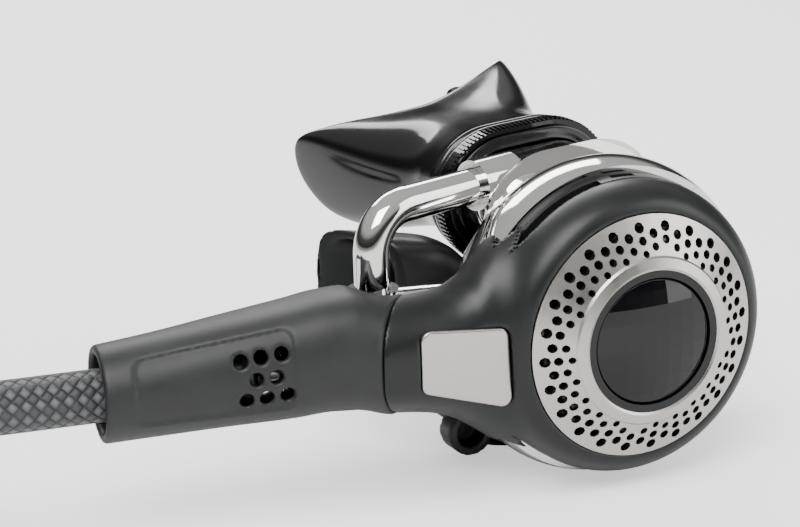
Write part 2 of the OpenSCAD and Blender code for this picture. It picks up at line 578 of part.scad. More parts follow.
// ---- bypass tube ----
module bypass_solid(r, over) {
  translate([foot_x, foot_by, bypass_foot_z - over]) cylinder(r = r, h = bypass_top_z - bypass_bend - bypass_foot_z + over);
  translate([foot_x, foot_by, bypass_top_z - bypass_bend]) rotate([0, 0, bypass_dir]) translate([bypass_bend, 0, 0])
    rotate([90, 0, 0]) rotate(90) rotate_extrude(angle = 90, $fn = 96) translate([bypass_bend, 0]) circle(r = r, $fn = 48);
  along_bypass(bypass_bend) cylinder(r = r, h = bypass_len - bypass_bend - 1.2 + over);
}
module bypass_tube() color("#d0d0ce") placed() difference() {
  bypass_solid(bypass_r, 0);
  bypass_solid(bypass_bore, 1);
}
module bypass_orings() color("#151515") placed() {
  translate([foot_x, foot_by, bypass_foot_z + 3]) torus(bypass_r + 0.54, 0.48);
  along_bypass(bypass_len - 2.2) torus(bypass_r + 0.54, 0.48);
}

// ---- mouthpiece ----
// half outline of the flange, from the top notch round the lobe to the lower middle
flange_half = [
  [0, 12], [6, 12.4], [13, 12.8], [19, 13.2], [24, 12.8], [28, 11.4], [30, 8.5], [30.3, 3],
  [29.6, -3], [27.5, -9], [22.5, -13.5], [15, -16], [7.5, -16.4], [0, -16]
];
function flange_point(a) = let(k = len(flange_half) - 1, s = a <= 180 ? a / 180 * k : (360 - a) / 180 * k,
    i = min(floor(s), k - 1), f = s - i, p = flange_half[i] * (1 - f) + flange_half[i + 1] * f)
  [(a <= 180 ? 1 : -1) * p[0] * flange_w / 30.3, p[1]];
// neck outline: the mouth tube's own two round ends and straight sides, met along rays from the middle
function neck_point(a, r) = let(x = sin(a), z = cos(a), flat = abs(z) < 0.001 ? 1000 : r * abs(x / z))
  flat <= mouth_a ? [flat * sign(x), r * sign(z)]
  : let(t = mouth_a * abs(x) + sqrt(r * r - mouth_a * mouth_a * z * z)) [t * x, t * z];
// the soft part bends towards the hose and turns a little as it leaves the tube
function bent(p) = let(f = min(1, max(0, (p[1] - 60) / 26)), yw = mouth_yaw * f, tn = mouth_turn * f,
    x = p[0] * cos(tn) + p[2] * sin(tn) * -1, z = p[0] * sin(tn) + p[2] * cos(tn), y = p[1] - 52)
  [x * cos(yw) - y * sin(yw), 52 + x * sin(yw) + y * cos(yw), z + f];
// the flange wraps round the teeth, more at its ends
function lip_ring(y, w, r, n = 40) = [for (i = [0:n - 1]) let(a = 360 * i / n,
    q = neck_point(a, r) * (1 - w) + flange_point(a) * w,
    curl = 15 * pow(q[0] / 33, 2) + 6 * pow(max(0, abs(q[0]) - 22) / 9, 2))
  bent([q[0], y + w * curl, q[1]])];
module mouthpiece() color("#0d0d0e") placed() at_mouth() {
  out_r = mouth_r + neck_wall;
  skin([
    lip_ring(neck_y, 0, out_r + 0.5), lip_ring(clamp_y - 0.2, 0, out_r + 0.5),
    lip_ring(clamp_y - 0.1, 0, out_r), lip_ring(clamp_y + clamp_w + 0.1, 0, out_r),
    lip_ring(clamp_y + clamp_w + 0.3, 0, out_r + 1.7), lip_ring(clamp_y + clamp_w + 2.2, 0, out_r + 1.7),
    lip_ring(clamp_y + clamp_w + 2.8, 0, out_r + 0.6), lip_ring(clamp_y + clamp_w + 3.6, 0, out_r + 1.2),
    lip_ring(clamp_y + clamp_w + 5.2, 0, out_r + 1.1), lip_ring(63, 0, out_r),
    lip_ring(70, -0.03, out_r - 1.2), lip_ring(76, 0.12, out_r - 1.2), lip_ring(81, 0.38, out_r - 1),
    lip_ring(85, 0.7, out_r - 1), lip_ring(88, 0.96, out_r - 1), lip_ring(89.6, 1.02, out_r - 1),
    lip_ring(91, 0.98, out_r - 1), lip_ring(89.4, 0.8, out_r - 2), lip_ring(87.2, 0.5, out_r - 3.4),
    lip_ring(83, 0.2, out_r - 4.4), lip_ring(76, 0, out_r - 4.2), lip_ring(66, 0, out_r - 3.4),
    lip_ring(mouth_end_y + 1, 0, mouth_r + 0.9), lip_ring(mouth_end_y - 2, 0, mouth_r + 0.9),
    lip_ring(mouth_end_y - 2.6, 0, mouth_r + 0.2), lip_ring(neck_y, 0, mouth_r + 0.2)
  ], loop = true);
  // bite wings, rooted in the inside of the flange
  for (m = [-1, 1]) skin([for (k = [0:5]) 
    let(y = 79 + 7 * k, thick = k == 5 ? 2.6 : k == 4 ? 3.2 : 1.6, tall = 8.5 - 0.5 * k)
    [for (p = oval(thick, tall, tall, 3, 16)) bent([m * (18.5 - 0.2 * k) + p[0], y, -1 - p[1]])]]);
}
module mouthpiece_clamp() color("#141516") placed() at_mouth() {
  difference() {
    mouth_tube(clamp_y, clamp_y + clamp_w, mouth_r + neck_wall + clamp_t + 0.35);
    mouth_tube(clamp_y - 1, clamp_y + clamp_w + 1, mouth_r + neck_wall + 0.35);
  }
  // buckle, low on the right
  translate([mouth_a, clamp_y, 0]) rotate([0, 40, 0]) translate([mouth_r + neck_wall + 0.8, 0, -4]) cube([3.2, clamp_w, 8]);
}

// ---- hose ----
module hose_nut() color("#c9c9c6") placed() along_inlet(nut_from) difference() {
  intersection() {
    rotate(30) hex(nut_af, nut_to - nut_from);
    cylinder(r1 = nut_af / 2 + 2.4, r2 = nut_af / 2 + 0.4, h = nut_to - nut_from);
  }
  translate([0, 0, -1]) cylinder(r = barrel_thread_r + fit, h = barrel_end - nut_from + 1.6);
  cylinder(r = 4.6, h = 20);
}
module hose_stem() color("#b59a5b") placed() along_inlet() rotate_extrude($fn = 64) polygon([
  [2.6, barrel_end - 6], [barrel_bore + 1.05, barrel_end - 6], [barrel_bore + 1.05, barrel_end - 4.4],
  [4.1, barrel_end - 4.4], [4.1, barrel_end - 3], [barrel_bore + 1.05, barrel_end - 3],
  [barrel_bore + 1.05, barrel_end + 0.25], [4.5, barrel_end + 0.25], [4.5, hose_x + 0.4], [2.6, hose_x + 0.4]]);
module stem_oring() color("#151515") placed() along_inlet(barrel_end - 3.7) torus(4.65, 0.52);
module hose_ferrule() color("#c9c9c6") placed() along_hose() rotate_extrude($fn = 64) polygon([
  [2.6, ferrule_from], [ferrule_r - 1.4, ferrule_from], [ferrule_r, ferrule_from + 1], [ferrule_r, ferrule_from + 4],
  [ferrule_r - 0.35, ferrule_from + 4.4], [ferrule_r - 0.35, ferrule_from + 7], [ferrule_r, ferrule_from + 7.4],
  [ferrule_r, ferrule_to - 0.8], [ferrule_r - 0.8, ferrule_to], [2.6, ferrule_to]]);
// sleeve sections: distance along the hose line, height of the middle, half height, half depth, roundness
sleeve_s = [-14, -9, -4, 0, 2.5, 6, 16, 30, 44, sleeve_end];
sleeve_zc = [0.2, 0.2, 1, 2.6, 3.4, 3.5, 2.7, 1.8, 0.8, 0];
sleeve_h = [12.6, 12.6, 12.8, 13, 13.1, 12.9, 12.4, 11.6, 10.9, sleeve_end_r];
sleeve_d = [11.6, 11.6, 11.8, 12, 12.1, 12, 11.8, 11.3, 10.8, sleeve_end_r];
sleeve_n = [2.5, 2.5, 2.5, 2.6, 2.6, 2.6, 2.5, 2.3, 2.1, 2];
module sleeve_loft(inset, over) skin([for (i = [0:len(sleeve_s) - 1])
  let(s = sleeve_s[i] + (i == 0 ? -over : i == len(sleeve_s) - 1 ? over : 0))
  [for (p = oval(sleeve_d[i] - inset, sleeve_h[i] - inset, sleeve_h[i] - inset, sleeve_n[i], 36))
    [sleeve_zc[i] + p[1], -p[0], s]]]);
module hose_sleeve() color("#2a2b2c") placed() difference() {
  along_sleeve() difference() {
    sleeve_loft(0, 0);
    sleeve_loft(sleeve_wall, 1);
    // shallow panel on the front, sunk by about half a millimetre
    translate([-4.5, -11.25, 17]) rotate([-2, 0, 0]) translate([0, -4, 0]) cube([16.7, 4, 33.4]);
    for (h = sleeve_holes) translate([h[1], 0, h[0]]) rotate([90, 0, 0]) cylinder(r = 1.5, h = 20, $fn = 24);
  }
  // room for the housing's end and for the nut
  along_inlet(housing_step) cylinder(r = housing_r - 1.8 + seal, h = nut_from - housing_step);
  along_inlet(nut_from - 0.5) cylinder(r = nut_af / 2 / cos(30) + seal, h = nut_to - nut_from + 1);
  // the root is cut to meet the cover's arm in front and to clear the bypass boss behind
  before_joint();
  translate([-arm_end + 1, inlet_y + 2.5, -30]) cube([40, 30, 60]);
}
module before_joint() translate([-arm_end - 0.1, 5, 0]) rotate([0, 0, -joint_tilt]) translate([0, -60, -60])
  cube([60, 120, 120]);
// drain holes of the sleeve: distance along it and height, in slanting rows of three, two and three
sleeve_holes = [
  [28.3, 6.6], [24, 7.1], [19.6, 7.4], [25.2, 2.5], [20.9, 2.6], [27.4, -1.9], [23.1, -1.8], [18.7, -1.5]
];
hose_dir = [-cos(hose_sweep), sin(hose_sweep), 0];
coil_dir = [sin(coil_from), -cos(coil_from), 0];
function coil_point(i) = let(f = i / coil_n, a = coil_from - 360 * coil_turns * f, r = coil_in + coil_step * coil_turns * f)
  [coil_c[0] + r * cos(a), coil_c[1] + r * sin(a), coil_z];
coil_end_a = coil_from - 360 * coil_turns;
end_dir = [sin(coil_end_a), -cos(coil_end_a), 0];
coil_end = coil_point(coil_n);
tail_end = [coil_end[0] + tail_len * end_dir[0], coil_end[1] + tail_len * end_dir[1], coil_z + end_rise];
ferrule_start = [-hose_x, inlet_y - foot_y, axis_h] + ferrule_to * hose_dir;
coil_path = concat(
  [for (i = [0:coil_n]) coil_point(i)],
  [[coil_end[0] + 9 * end_dir[0], coil_end[1] + 9 * end_dir[1], coil_z + 0.9],
   [coil_end[0] + 18 * end_dir[0], coil_end[1] + 18 * end_dir[1], coil_z + end_rise - 0.4],
   tail_end]);
module hose() color("#2b2c2d") {
  p = concat([ferrule_start], route,
    [[coil_point(0)[0] - 6 * coil_dir[0], coil_point(0)[1] - 6 * coil_dir[1], coil_z], coil_point(0)]);
  skin(tube_rings(p, hose_r, 10, hose_dir, coil_dir));
}
module hose_coil() color("#2b2c2d") {
  turns_apart = coil_step - 2 * hose_r;
  echo(str("hose coil, least gap between turns: ", turns_apart, " mm"));
  skin(tube_rings(coil_path, hose_r, 6, coil_dir, end_dir));
}
// children's +Z runs out along the hose's far end
module at_tail(d = 0) translate(tail_end) rotate([0, 0, coil_end_a - 90])
  rotate([0, 90, 0]) translate([0, 0, d]) children();
module end_ferrule() color("#c9c9c6") at_tail() rotate_extrude($fn = 64) polygon([
  [0, 0], [ferrule_r - 0.8, 0], [ferrule_r, 0.8], [ferrule_r, 10], [ferrule_r - 0.35, 10.4], [ferrule_r - 0.35, 13],
  [ferrule_r, 13.4], [ferrule_r, ferrule_len - 1], [ferrule_r - 1.4, ferrule_len], [0, ferrule_len]]);
module end_fitting() color("#c9c9c6") at_tail(ferrule_len) {
  hex(hex_af, hex_len);
  translate([0, 0, hex_len]) cylinder(r = thread_r - 1.1, h = 2);
  translate([0, 0, hex_len + 2]) cylinder(r = thread_r, h = thread_len);
}
module fitting_oring() color("#151515") at_tail(ferrule_len + hex_len + 1) torus(thread_r - 0.35, 0.7);

case_body();
cover_ring();
slip_ring();
diaphragm();
diaphragm_plate();
front_cover();
perforated_ring();
button_guide();
purge_button();
purge_spring();
badge_plate();
valve_barrel();
barrel_nut();
inlet_orifice();
orifice_oring();
poppet();
poppet_seat();
poppet_spring();
poppet_locknut();
demand_lever();
exhaust_valve();
exhaust_tee();
bypass_tube();
bypass_orings();
mouthpiece();
mouthpiece_clamp();
hose_nut();
hose_stem();
stem_oring();
hose_ferrule();
hose_sleeve();
hose();
hose_coil();
end_ferrule();
end_fitting();
fitting_oring();
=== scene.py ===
import json
import math
from functools import partial

import bmesh
import bpy
import numpy as np
from mathutils import Matrix, Vector


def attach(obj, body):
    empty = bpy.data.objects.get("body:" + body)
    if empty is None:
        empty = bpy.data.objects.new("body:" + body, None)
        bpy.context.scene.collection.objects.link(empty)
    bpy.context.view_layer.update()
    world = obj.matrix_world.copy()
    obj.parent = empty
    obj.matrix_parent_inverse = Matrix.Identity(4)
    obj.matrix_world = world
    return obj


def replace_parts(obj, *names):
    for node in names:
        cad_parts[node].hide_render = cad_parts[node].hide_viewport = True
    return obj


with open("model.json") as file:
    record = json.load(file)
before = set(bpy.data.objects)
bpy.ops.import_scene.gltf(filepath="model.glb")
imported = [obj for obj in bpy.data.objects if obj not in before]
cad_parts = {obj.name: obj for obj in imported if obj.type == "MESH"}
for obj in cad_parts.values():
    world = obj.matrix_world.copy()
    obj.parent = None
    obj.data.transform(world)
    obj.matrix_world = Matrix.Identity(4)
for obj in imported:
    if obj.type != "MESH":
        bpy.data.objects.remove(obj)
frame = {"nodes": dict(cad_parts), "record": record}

bl_info = {
    "name": "Scuba second stage looks",
    "version": (1, 0, 0),
    "blender": (4, 5, 0),
    "location": "View3D > Sidebar > Second stage",
    "description": "Soft pieces, materials, camera and studio for a scuba second stage with its hose",
    "category": "Object",
}

# ---------------------------------------------------------------- sizes
# The case frame: millimetres, origin at the perforated ring's edge on the case's axis,
# +Y back to the mouthpiece, -X along the hose, +Z up. Everything below is drawn in it.
MM = 0.001
AXIS_H = 36.1
FOOT_Y = 44.0
RING_R = 27.4
COVER_R = 33.3
COVER_WALL = 1.8
COVER_BACK_Y = 9.0
CASE_FRONT_Y = 12.65
ARM_END = 60.5
ARM_BACK_Y = 16.0
CASE_R = 36.1
INLET_Y = 17.5
JOINT_TILT = math.radians(41)
SLEEVE_X = 60.0
SWEEP = math.radians(9.3)
SLEEVE_END = 57.0
SLEEVE_WALL = 2.0
REAR_ROLL = math.radians(3)
MOUTH_Z = 21.0
MOUTH_R = 11.5
MOUTH_A = 6.0
MOUTH_WALL = 2.8
CLAMP_Y = 48.7
CLAMP_W = 3.8
EXHAUST_Z = 12.5
EXHAUST_R = 12.2
HOSE_R = 5.7
CASE_BACK_Y = 34.0
RIM_R = 29.5
RIM_Y = 8.6
PLATE_Y = 7.2
PLATE_R = 11.0


def row(points):
    """Case frame in millimetres to the row frame in metres."""
    p = np.asarray(points, float).reshape(-1, 3)
    return (p + np.array([0.0, -FOOT_Y, AXIS_H])) * MM


def rolled(points, back=False):
    """Turns points of the mouth side about the case's axis by the rear roll."""
    t = -REAR_ROLL if not back else REAR_ROLL
    c, s = math.cos(t), math.sin(t)
    p = np.asarray(points, float).reshape(-1, 3)
    return np.stack([p[:, 0] * c + p[:, 2] * s, p[:, 1], -p[:, 0] * s + p[:, 2] * c], 1)


# ---------------------------------------------------------------- the hose's route
# These points repeat part.scad's route in the row frame, in metres.
HOSE_X = 70.0
HOSE_SWEEP = math.radians(11)
FERRULE_TO = 15.0
ROUTE = [
    (-95, -21.7, 36.1), (-106, -19.6, 36.1), (-117, -17.5, 36.1), (-129, -15.2, 36),
    (-139, -13.5, 36), (-147, -12, 35.5), (-155, -10.8, 34), (-163, -9.5, 31.2), (-170, -8.3, 28),
    (-177, -7.2, 23.8), (-184, -6, 19), (-190, -5, 14.8), (-196, -4, 11), (-202, -3, 8),
    (-208, -1.8, 5.8),
]
COIL_C = (-198.0, 53.0)
COIL_IN = 56.0
COIL_STEP = 12.6
COIL_TURNS = 1.25
COIL_FROM = math.radians(250)
COIL_N = 30
COIL_Z = HOSE_R * math.cos(math.radians(30))
TAIL_LEN = 26.0
END_RISE = 3.4


def hose_route():
    start = (-HOSE_X - FERRULE_TO * math.cos(HOSE_SWEEP),
             INLET_Y - FOOT_Y + FERRULE_TO * math.sin(HOSE_SWEEP), AXIS_H)
    points = [start] + list(ROUTE)

    def coil(i):
        f = i / COIL_N
        a = COIL_FROM - 2 * math.pi * COIL_TURNS * f
        r = COIL_IN + COIL_STEP * COIL_TURNS * f
        return (COIL_C[0] + r * math.cos(a), COIL_C[1] + r * math.sin(a), COIL_Z)

    d0 = (math.sin(COIL_FROM), -math.cos(COIL_FROM))
    first = coil(0)
    points.append((first[0] - 6 * d0[0], first[1] - 6 * d0[1], COIL_Z))
    points += [coil(i) for i in range(COIL_N + 1)]
    a = COIL_FROM - 2 * math.pi * COIL_TURNS
    d1 = (math.sin(a), -math.cos(a))
    last = coil(COIL_N)
    for far, z in ((9, COIL_Z + 0.9), (18, COIL_Z + END_RISE - 0.4), (TAIL_LEN, COIL_Z + END_RISE)):
        points.append((last[0] + far * d1[0], last[1] + far * d1[1], z))
    return np.array(points) * MM


# ---------------------------------------------------------------- materials
def linear(code):
    """sRGB hex code to linear RGBA."""
    out = []
    for i in (0, 2, 4):
        c = int(code[i:i + 2], 16) / 255
        out.append(c / 12.92 if c <= 0.04045 else ((c + 0.055) / 1.055) ** 2.4)
    return (*out, 1.0)


def add_node(tree, kind, inputs=None, **settings):
    """Adds a node with its settings; an input takes a value, a socket, or a node's first output."""
    node = tree.nodes.new(kind)
    for key, value in settings.items():
        setattr(node, key, value)
    for key, value in (inputs or {}).items():
        if isinstance(value, bpy.types.Node):
            value = value.outputs[0]
        if isinstance(value, bpy.types.NodeSocket):
            tree.links.new(value, node.inputs[key])
        else:
            node.inputs[key].default_value = value
    return node


# Surfaces with one recipe.
# cloud: scale per millimetre and detail of the broad marks
# rough: lowest and highest roughness, and the part of the cloud they span
# tint: one colour, or two and the part of the cloud they span
# grain: scale per millimetre, detail, roughness, strength and depth of the fine relief
FINISHES = {
    # chrome on polished brass: a mirror with a trace of polishing haze
    "chrome_plate": {"cloud": (0.12, 3), "rough": (0.035, 0.1, 0.35, 0.7), "tint": ["d9d8d6"],
                     "grain": (1.6, 2, 0.55, 0.02, 0.0001), "own": {"Metallic": 1.0}},
    # spring wire and pressed stainless sheet: slightly dull
    "plain_steel": {"cloud": (0.8, 3), "rough": (0.22, 0.38, 0, 1), "tint": ["b4b5b6"],
                    "grain": (0.8, 3, 0.55, 0.05, 0.0001), "own": {"Metallic": 1.0}},
    # bare turned brass: warm, with darker handling marks
    "machined_brass": {"cloud": (1.2, 3), "rough": (0.2, 0.34, 0, 1),
                       "tint": ["b08d45", "c9a85e", 0, 1], "own": {"Metallic": 1.0}},
    # black moulded nylon: satin, with a spark-eroded grain about a quarter of a millimetre wide
    "satin_black": {"cloud": (0.09, 3), "rough": (0.34, 0.44, 0.3, 0.7),
                    "tint": ["0e0f10", "151617", 0.35, 0.7], "grain": (3.6, 3, 0.6, 0.16, 0.00006),
                    "own": {"Specular IOR Level": 0.4}},
    # polished black plastic: glossy, with the faintest flow marks
    "gloss_black": {"cloud": (0.3, 3), "rough": (0.05, 0.1, 0, 1), "tint": ["08080a"],
                    "own": {"Specular IOR Level": 0.4}},
    # moulded rubber: matt, dusty and finely pitted
    "matt_rubber": {"cloud": (0.16, 3), "rough": (0.46, 0.6, 0, 1),
                    "tint": ["141516", "1d1e1f", 0.4, 0.75], "grain": (2.6, 4, 0.65, 0.2, 0.00008)},
    # moulded silicone: wet-looking, with soft waves in the gloss
    "black_silicone": {"cloud": (0.1, 2), "rough": (0.1, 0.2, 0.3, 0.7), "tint": ["0c0c0d"],
                       "grain": (1.4, 3, 0.55, 0.03, 0.0001), "own": {"Specular IOR Level": 0.55}},
    # undyed nylon: milky, letting a little light in
    "natural_nylon": {"cloud": (0.7, 3), "rough": (0.38, 0.5, 0, 1),
                      "tint": ["e0dccf", "ebe8de", 0, 1], "own": {"Subsurface Weight": 0.1}},
}


def finish(add, mm, cloud, rough, tint, grain=None, own=None):
    """Builds one of the surfaces of the table and returns its shader."""
    marks = add("ShaderNodeTexNoise", {"Vector": mm, "Scale": cloud[0], "Detail": cloud[1],
                                       "Roughness": 0.55})
    low, high, start, end = rough
    gloss = add("ShaderNodeMapRange", {"Value": marks, "From Min": start, "From Max": end,
                                       "To Min": low, "To Max": high})
    inputs = {"Roughness": gloss, "Base Color": linear(tint[0])}
    if len(tint) > 1:
        share = add("ShaderNodeMapRange", {"Value": marks, "From Min": tint[2], "From Max": tint[3]})
        mix = add("ShaderNodeMix", {0: share, 6: linear(tint[0]), 7: linear(tint[1])}, data_type="RGBA")
        inputs["Base Color"] = mix.outputs[2]
    if grain:
        scale, detail, roughness, strength, depth = grain
        relief = add("ShaderNodeTexNoise", {"Vector": mm, "Scale": scale, "Detail": detail,
                                            "Roughness": roughness})
        inputs["Normal"] = add("ShaderNodeBump", {"Height": relief, "Strength": strength,
                                                  "Distance": depth})
    return add("ShaderNodeBsdfPrincipled", {**inputs, **(own or {})})


def turned_steel(add, mm):
    """Satin stainless steel, turned about the case's axis: fine rings in the gloss."""
    x, _, z = add("ShaderNodeSeparateXYZ", {0: mm}).outputs
    up = add("ShaderNodeMath", {0: z, 1: AXIS_H}, operation="SUBTRACT")
    squares = [add("ShaderNodeMath", {0: v, 1: v}, operation="MULTIPLY") for v in (x, up)]
    both = add("ShaderNodeMath", {0: squares[0], 1: squares[1]}, operation="ADD")
    radius = add("ShaderNodeMath", {0: both}, operation="SQRT")
    rings = add("ShaderNodeMath", {0: radius, 1: 9.0}, operation="MULTIPLY")
    line = add("ShaderNodeTexNoise", {"Vector": add("ShaderNodeCombineXYZ", {0: rings}), "Scale": 1.0,
                                      "Detail": 4.0, "Roughness": 0.55})
    cloud = add("ShaderNodeTexNoise", {"Vector": mm, "Scale": 0.2, "Detail": 3.0, "Roughness": 0.55})
    share = add("ShaderNodeMapRange", {"Value": line, "To Min": 0.25, "To Max": 0.75})
    color = add("ShaderNodeMix", {0: share, 6: linear("a9a6a1"), 7: linear("d0cdc8")}, data_type="RGBA")
    marks = add("ShaderNodeMath", {0: line, 1: cloud}, operation="ADD")
    gloss = add("ShaderNodeMapRange", {"Value": marks, "From Min": 0.7, "From Max": 1.3,
                                       "To Min": 0.24, "To Max": 0.36})
    # the tangent runs round the axis, so the highlight spreads across the turned lines
    return add("ShaderNodeBsdfPrincipled", {
        "Base Color": color.outputs[2], "Metallic": 1.0, "Roughness": gloss, "Anisotropic": 0.45,
        "Tangent": add("ShaderNodeTangent", direction_type="RADIAL", axis="Y"),
        "Normal": add("ShaderNodeBump", {"Height": line, "Strength": 0.05, "Distance": 0.0001})})


def brushed_badge(add, mm):
    """Badge steel, brushed along its length: streaks a few millimetres long."""
    x, _, z = add("ShaderNodeSeparateXYZ", {0: mm}).outputs
    long, fine = [add("ShaderNodeMath", {0: v, 1: k}, operation="MULTIPLY")
                  for v, k in ((x, 0.3), (z, 14.0))]
    line = add("ShaderNodeTexNoise", {"Vector": add("ShaderNodeCombineXYZ", {0: long, 2: fine}),
                                      "Scale": 1.0, "Detail": 3.0, "Roughness": 0.55})
    color = add("ShaderNodeMix", {0: line, 6: linear("b3afab"), 7: linear("cbc8c4")}, data_type="RGBA")
    return add("ShaderNodeBsdfPrincipled", {
        "Base Color": color.outputs[2], "Metallic": 1.0,
        "Roughness": add("ShaderNodeMapRange", {"Value": line, "To Min": 0.25, "To Max": 0.36}),
        "Normal": add("ShaderNodeBump", {"Height": line, "Strength": 0.05, "Distance": 0.0001})})


def hose_braid(add, mm):
    """Nylon braid, black with grey tracers: 24 rounded carriers crossing at 45 degrees, with painted shade
    in the weave's hollows.
    """
    carriers = 12.0
    u, v, _ = add("ShaderNodeSeparateXYZ", {0: add("ShaderNodeUVMap", uv_map="UVMap")}).outputs
    # v is the length in metres, so one carrier's width along the hose is its width round it
    steps = [
        ("around", "MULTIPLY", "u", carriers),
        ("along", "MULTIPLY", "v", carriers / (2 * math.pi * HOSE_R * MM)),
        ("a", "ADD", "around", "along"),
        ("b", "SUBTRACT", "around", "along"),
        ("floor_a", "FLOOR", "a"),
        ("floor_b", "FLOOR", "b"),
        ("both", "ADD", "floor_a", "floor_b"),
        ("parity", "FLOORED_MODULO", "both", 2.0),
        ("over", "LESS_THAN", "parity", 0.5),
        ("fract_a", "FRACT", "a"),
        ("fract_b", "FRACT", "b"),
    ]
    for own, other in ("ab", "ba"):
        steps += [
            (f"side_turn_{own}", "MULTIPLY", f"fract_{own}", math.pi),
            (f"side_wave_{own}", "SINE", f"side_turn_{own}"),
            (f"side_{own}", "POWER", f"side_wave_{own}", 0.5),
            (f"crest_turn_{own}", "MULTIPLY", f"fract_{other}", math.pi),
            (f"crest_wave_{own}", "SINE", f"crest_turn_{own}"),
            (f"crest_{own}", "POWER", f"crest_wave_{own}", 0.6),
            (f"strand_{own}", "MULTIPLY", f"side_{own}", f"crest_{own}"),
            (f"yarn_turn_{own}", "MULTIPLY", f"fract_{own}", math.pi * 10),
            (f"yarn_wave_{own}", "SINE", f"yarn_turn_{own}"),
            (f"yarn_{own}", "MULTIPLY", f"yarn_wave_{own}", 0.06),
            (f"height_{own}", "ADD", f"strand_{own}", f"yarn_{own}"),
        ]
    at = {"u": u, "v": v}
    for name, operation, *terms in steps:
        inputs = {i: at.get(term, term) for i, term in enumerate(terms)}
        at[name] = add("ShaderNodeMath", inputs, operation=operation)
    height = add("ShaderNodeMix", {0: at["over"], 2: at["height_b"], 3: at["height_a"]},
                 data_type="FLOAT")
    # painted shade: each carrier's colour runs from near black where it dips under its neighbours to its
    # lighter tone on its crests
    share = add("ShaderNodeMapRange", {"Value": height, "From Min": 0.1})
    black, tracer = [
        add("ShaderNodeMix", {0: share, 6: linear(low), 7: linear(high)}, data_type="RGBA").outputs[2]
        for low, high in (("050506", "3a3b3d"), ("070708", "5b5d60"))]
    color = add("ShaderNodeMix", {0: at["over"], 6: black, 7: tracer}, data_type="RGBA")
    fibre = add("ShaderNodeTexNoise", {"Vector": mm, "Scale": 5.0, "Detail": 2.0, "Roughness": 0.55})
    return add("ShaderNodeBsdfPrincipled", {
        "Base Color": color.outputs[2], "Sheen Weight": 0.1,
        "Roughness": add("ShaderNodeMapRange", {"Value": fibre, "To Min": 0.4, "To Max": 0.58}),
        "Normal": add("ShaderNodeBump", {"Height": height, "Strength": 0.9, "Distance": 0.0005})})


def white_table(add, mm):
    """Matt white table; its own glow is there for the camera alone, and it keeps a soft shadow."""
    marks = add("ShaderNodeTexNoise", {"Vector": mm, "Scale": 0.02, "Detail": 3.0, "Roughness": 0.55})
    color = add("ShaderNodeMix", {0: marks, 6: linear("f4f4f4"), 7: linear("f7f7f7")}, data_type="RGBA")
    matt = add("ShaderNodeBsdfDiffuse", {"Color": color.outputs[2]})
    glow = add("ShaderNodeEmission", {"Color": (1, 1, 1, 1), "Strength": 0.8})
    seen = add("ShaderNodeLightPath").outputs["Is Camera Ray"]
    bright = add("ShaderNodeAddShader", {0: matt, 1: glow})
    return add("ShaderNodeMixShader", {0: seen, 1: matt, 2: bright})


# which finish each of the record's material slots has; the badge has its own brushing
SLOT_FINISH = {
    "case_chrome": "chrome_plate", "ring_steel": "turned_steel", "spring_steel": "plain_steel",
    "plain_brass": "machined_brass", "cover_plastic": "satin_black", "button_plastic": "gloss_black",
    "pale_plastic": "natural_nylon", "soft_silicone": "black_silicone", "black_rubber": "matt_rubber",
    "hose_braid": "hose_braid", "badge": "brushed_badge", "table": "white_table",
}
OWN_MAKER = {"turned_steel": turned_steel, "brushed_badge": brushed_badge, "hose_braid": hose_braid,
             "white_table": white_table}
made = {}


def material(slot):
    """The material of a slot, built at its first use."""
    name = SLOT_FINISH[slot]
    if name not in made:
        made[name] = bpy.data.materials.new(name)
        made[name].use_nodes = True
        tree = made[name].node_tree
        tree.nodes.clear()
        add = partial(add_node, tree)
        place = add("ShaderNodeTexCoord").outputs["Object"]
        mm = add("ShaderNodeVectorMath", {0: place, "Scale": 1000.0}, operation="SCALE")
        own = OWN_MAKER.get(name)
        surface = own(add, mm) if own else finish(add, mm, **FINISHES[name])
        add("ShaderNodeOutputMaterial", {"Surface": surface})
    return made[name]


# ---------------------------------------------------------------- solid forms as distance fields
def smin(a, b, k):
    h = np.clip(0.5 + 0.5 * (b - a) / k, 0, 1)
    return b * (1 - h) + a * h - k * h * (1 - h)


def smax(a, b, k):
    return -smin(-a, -b, k)


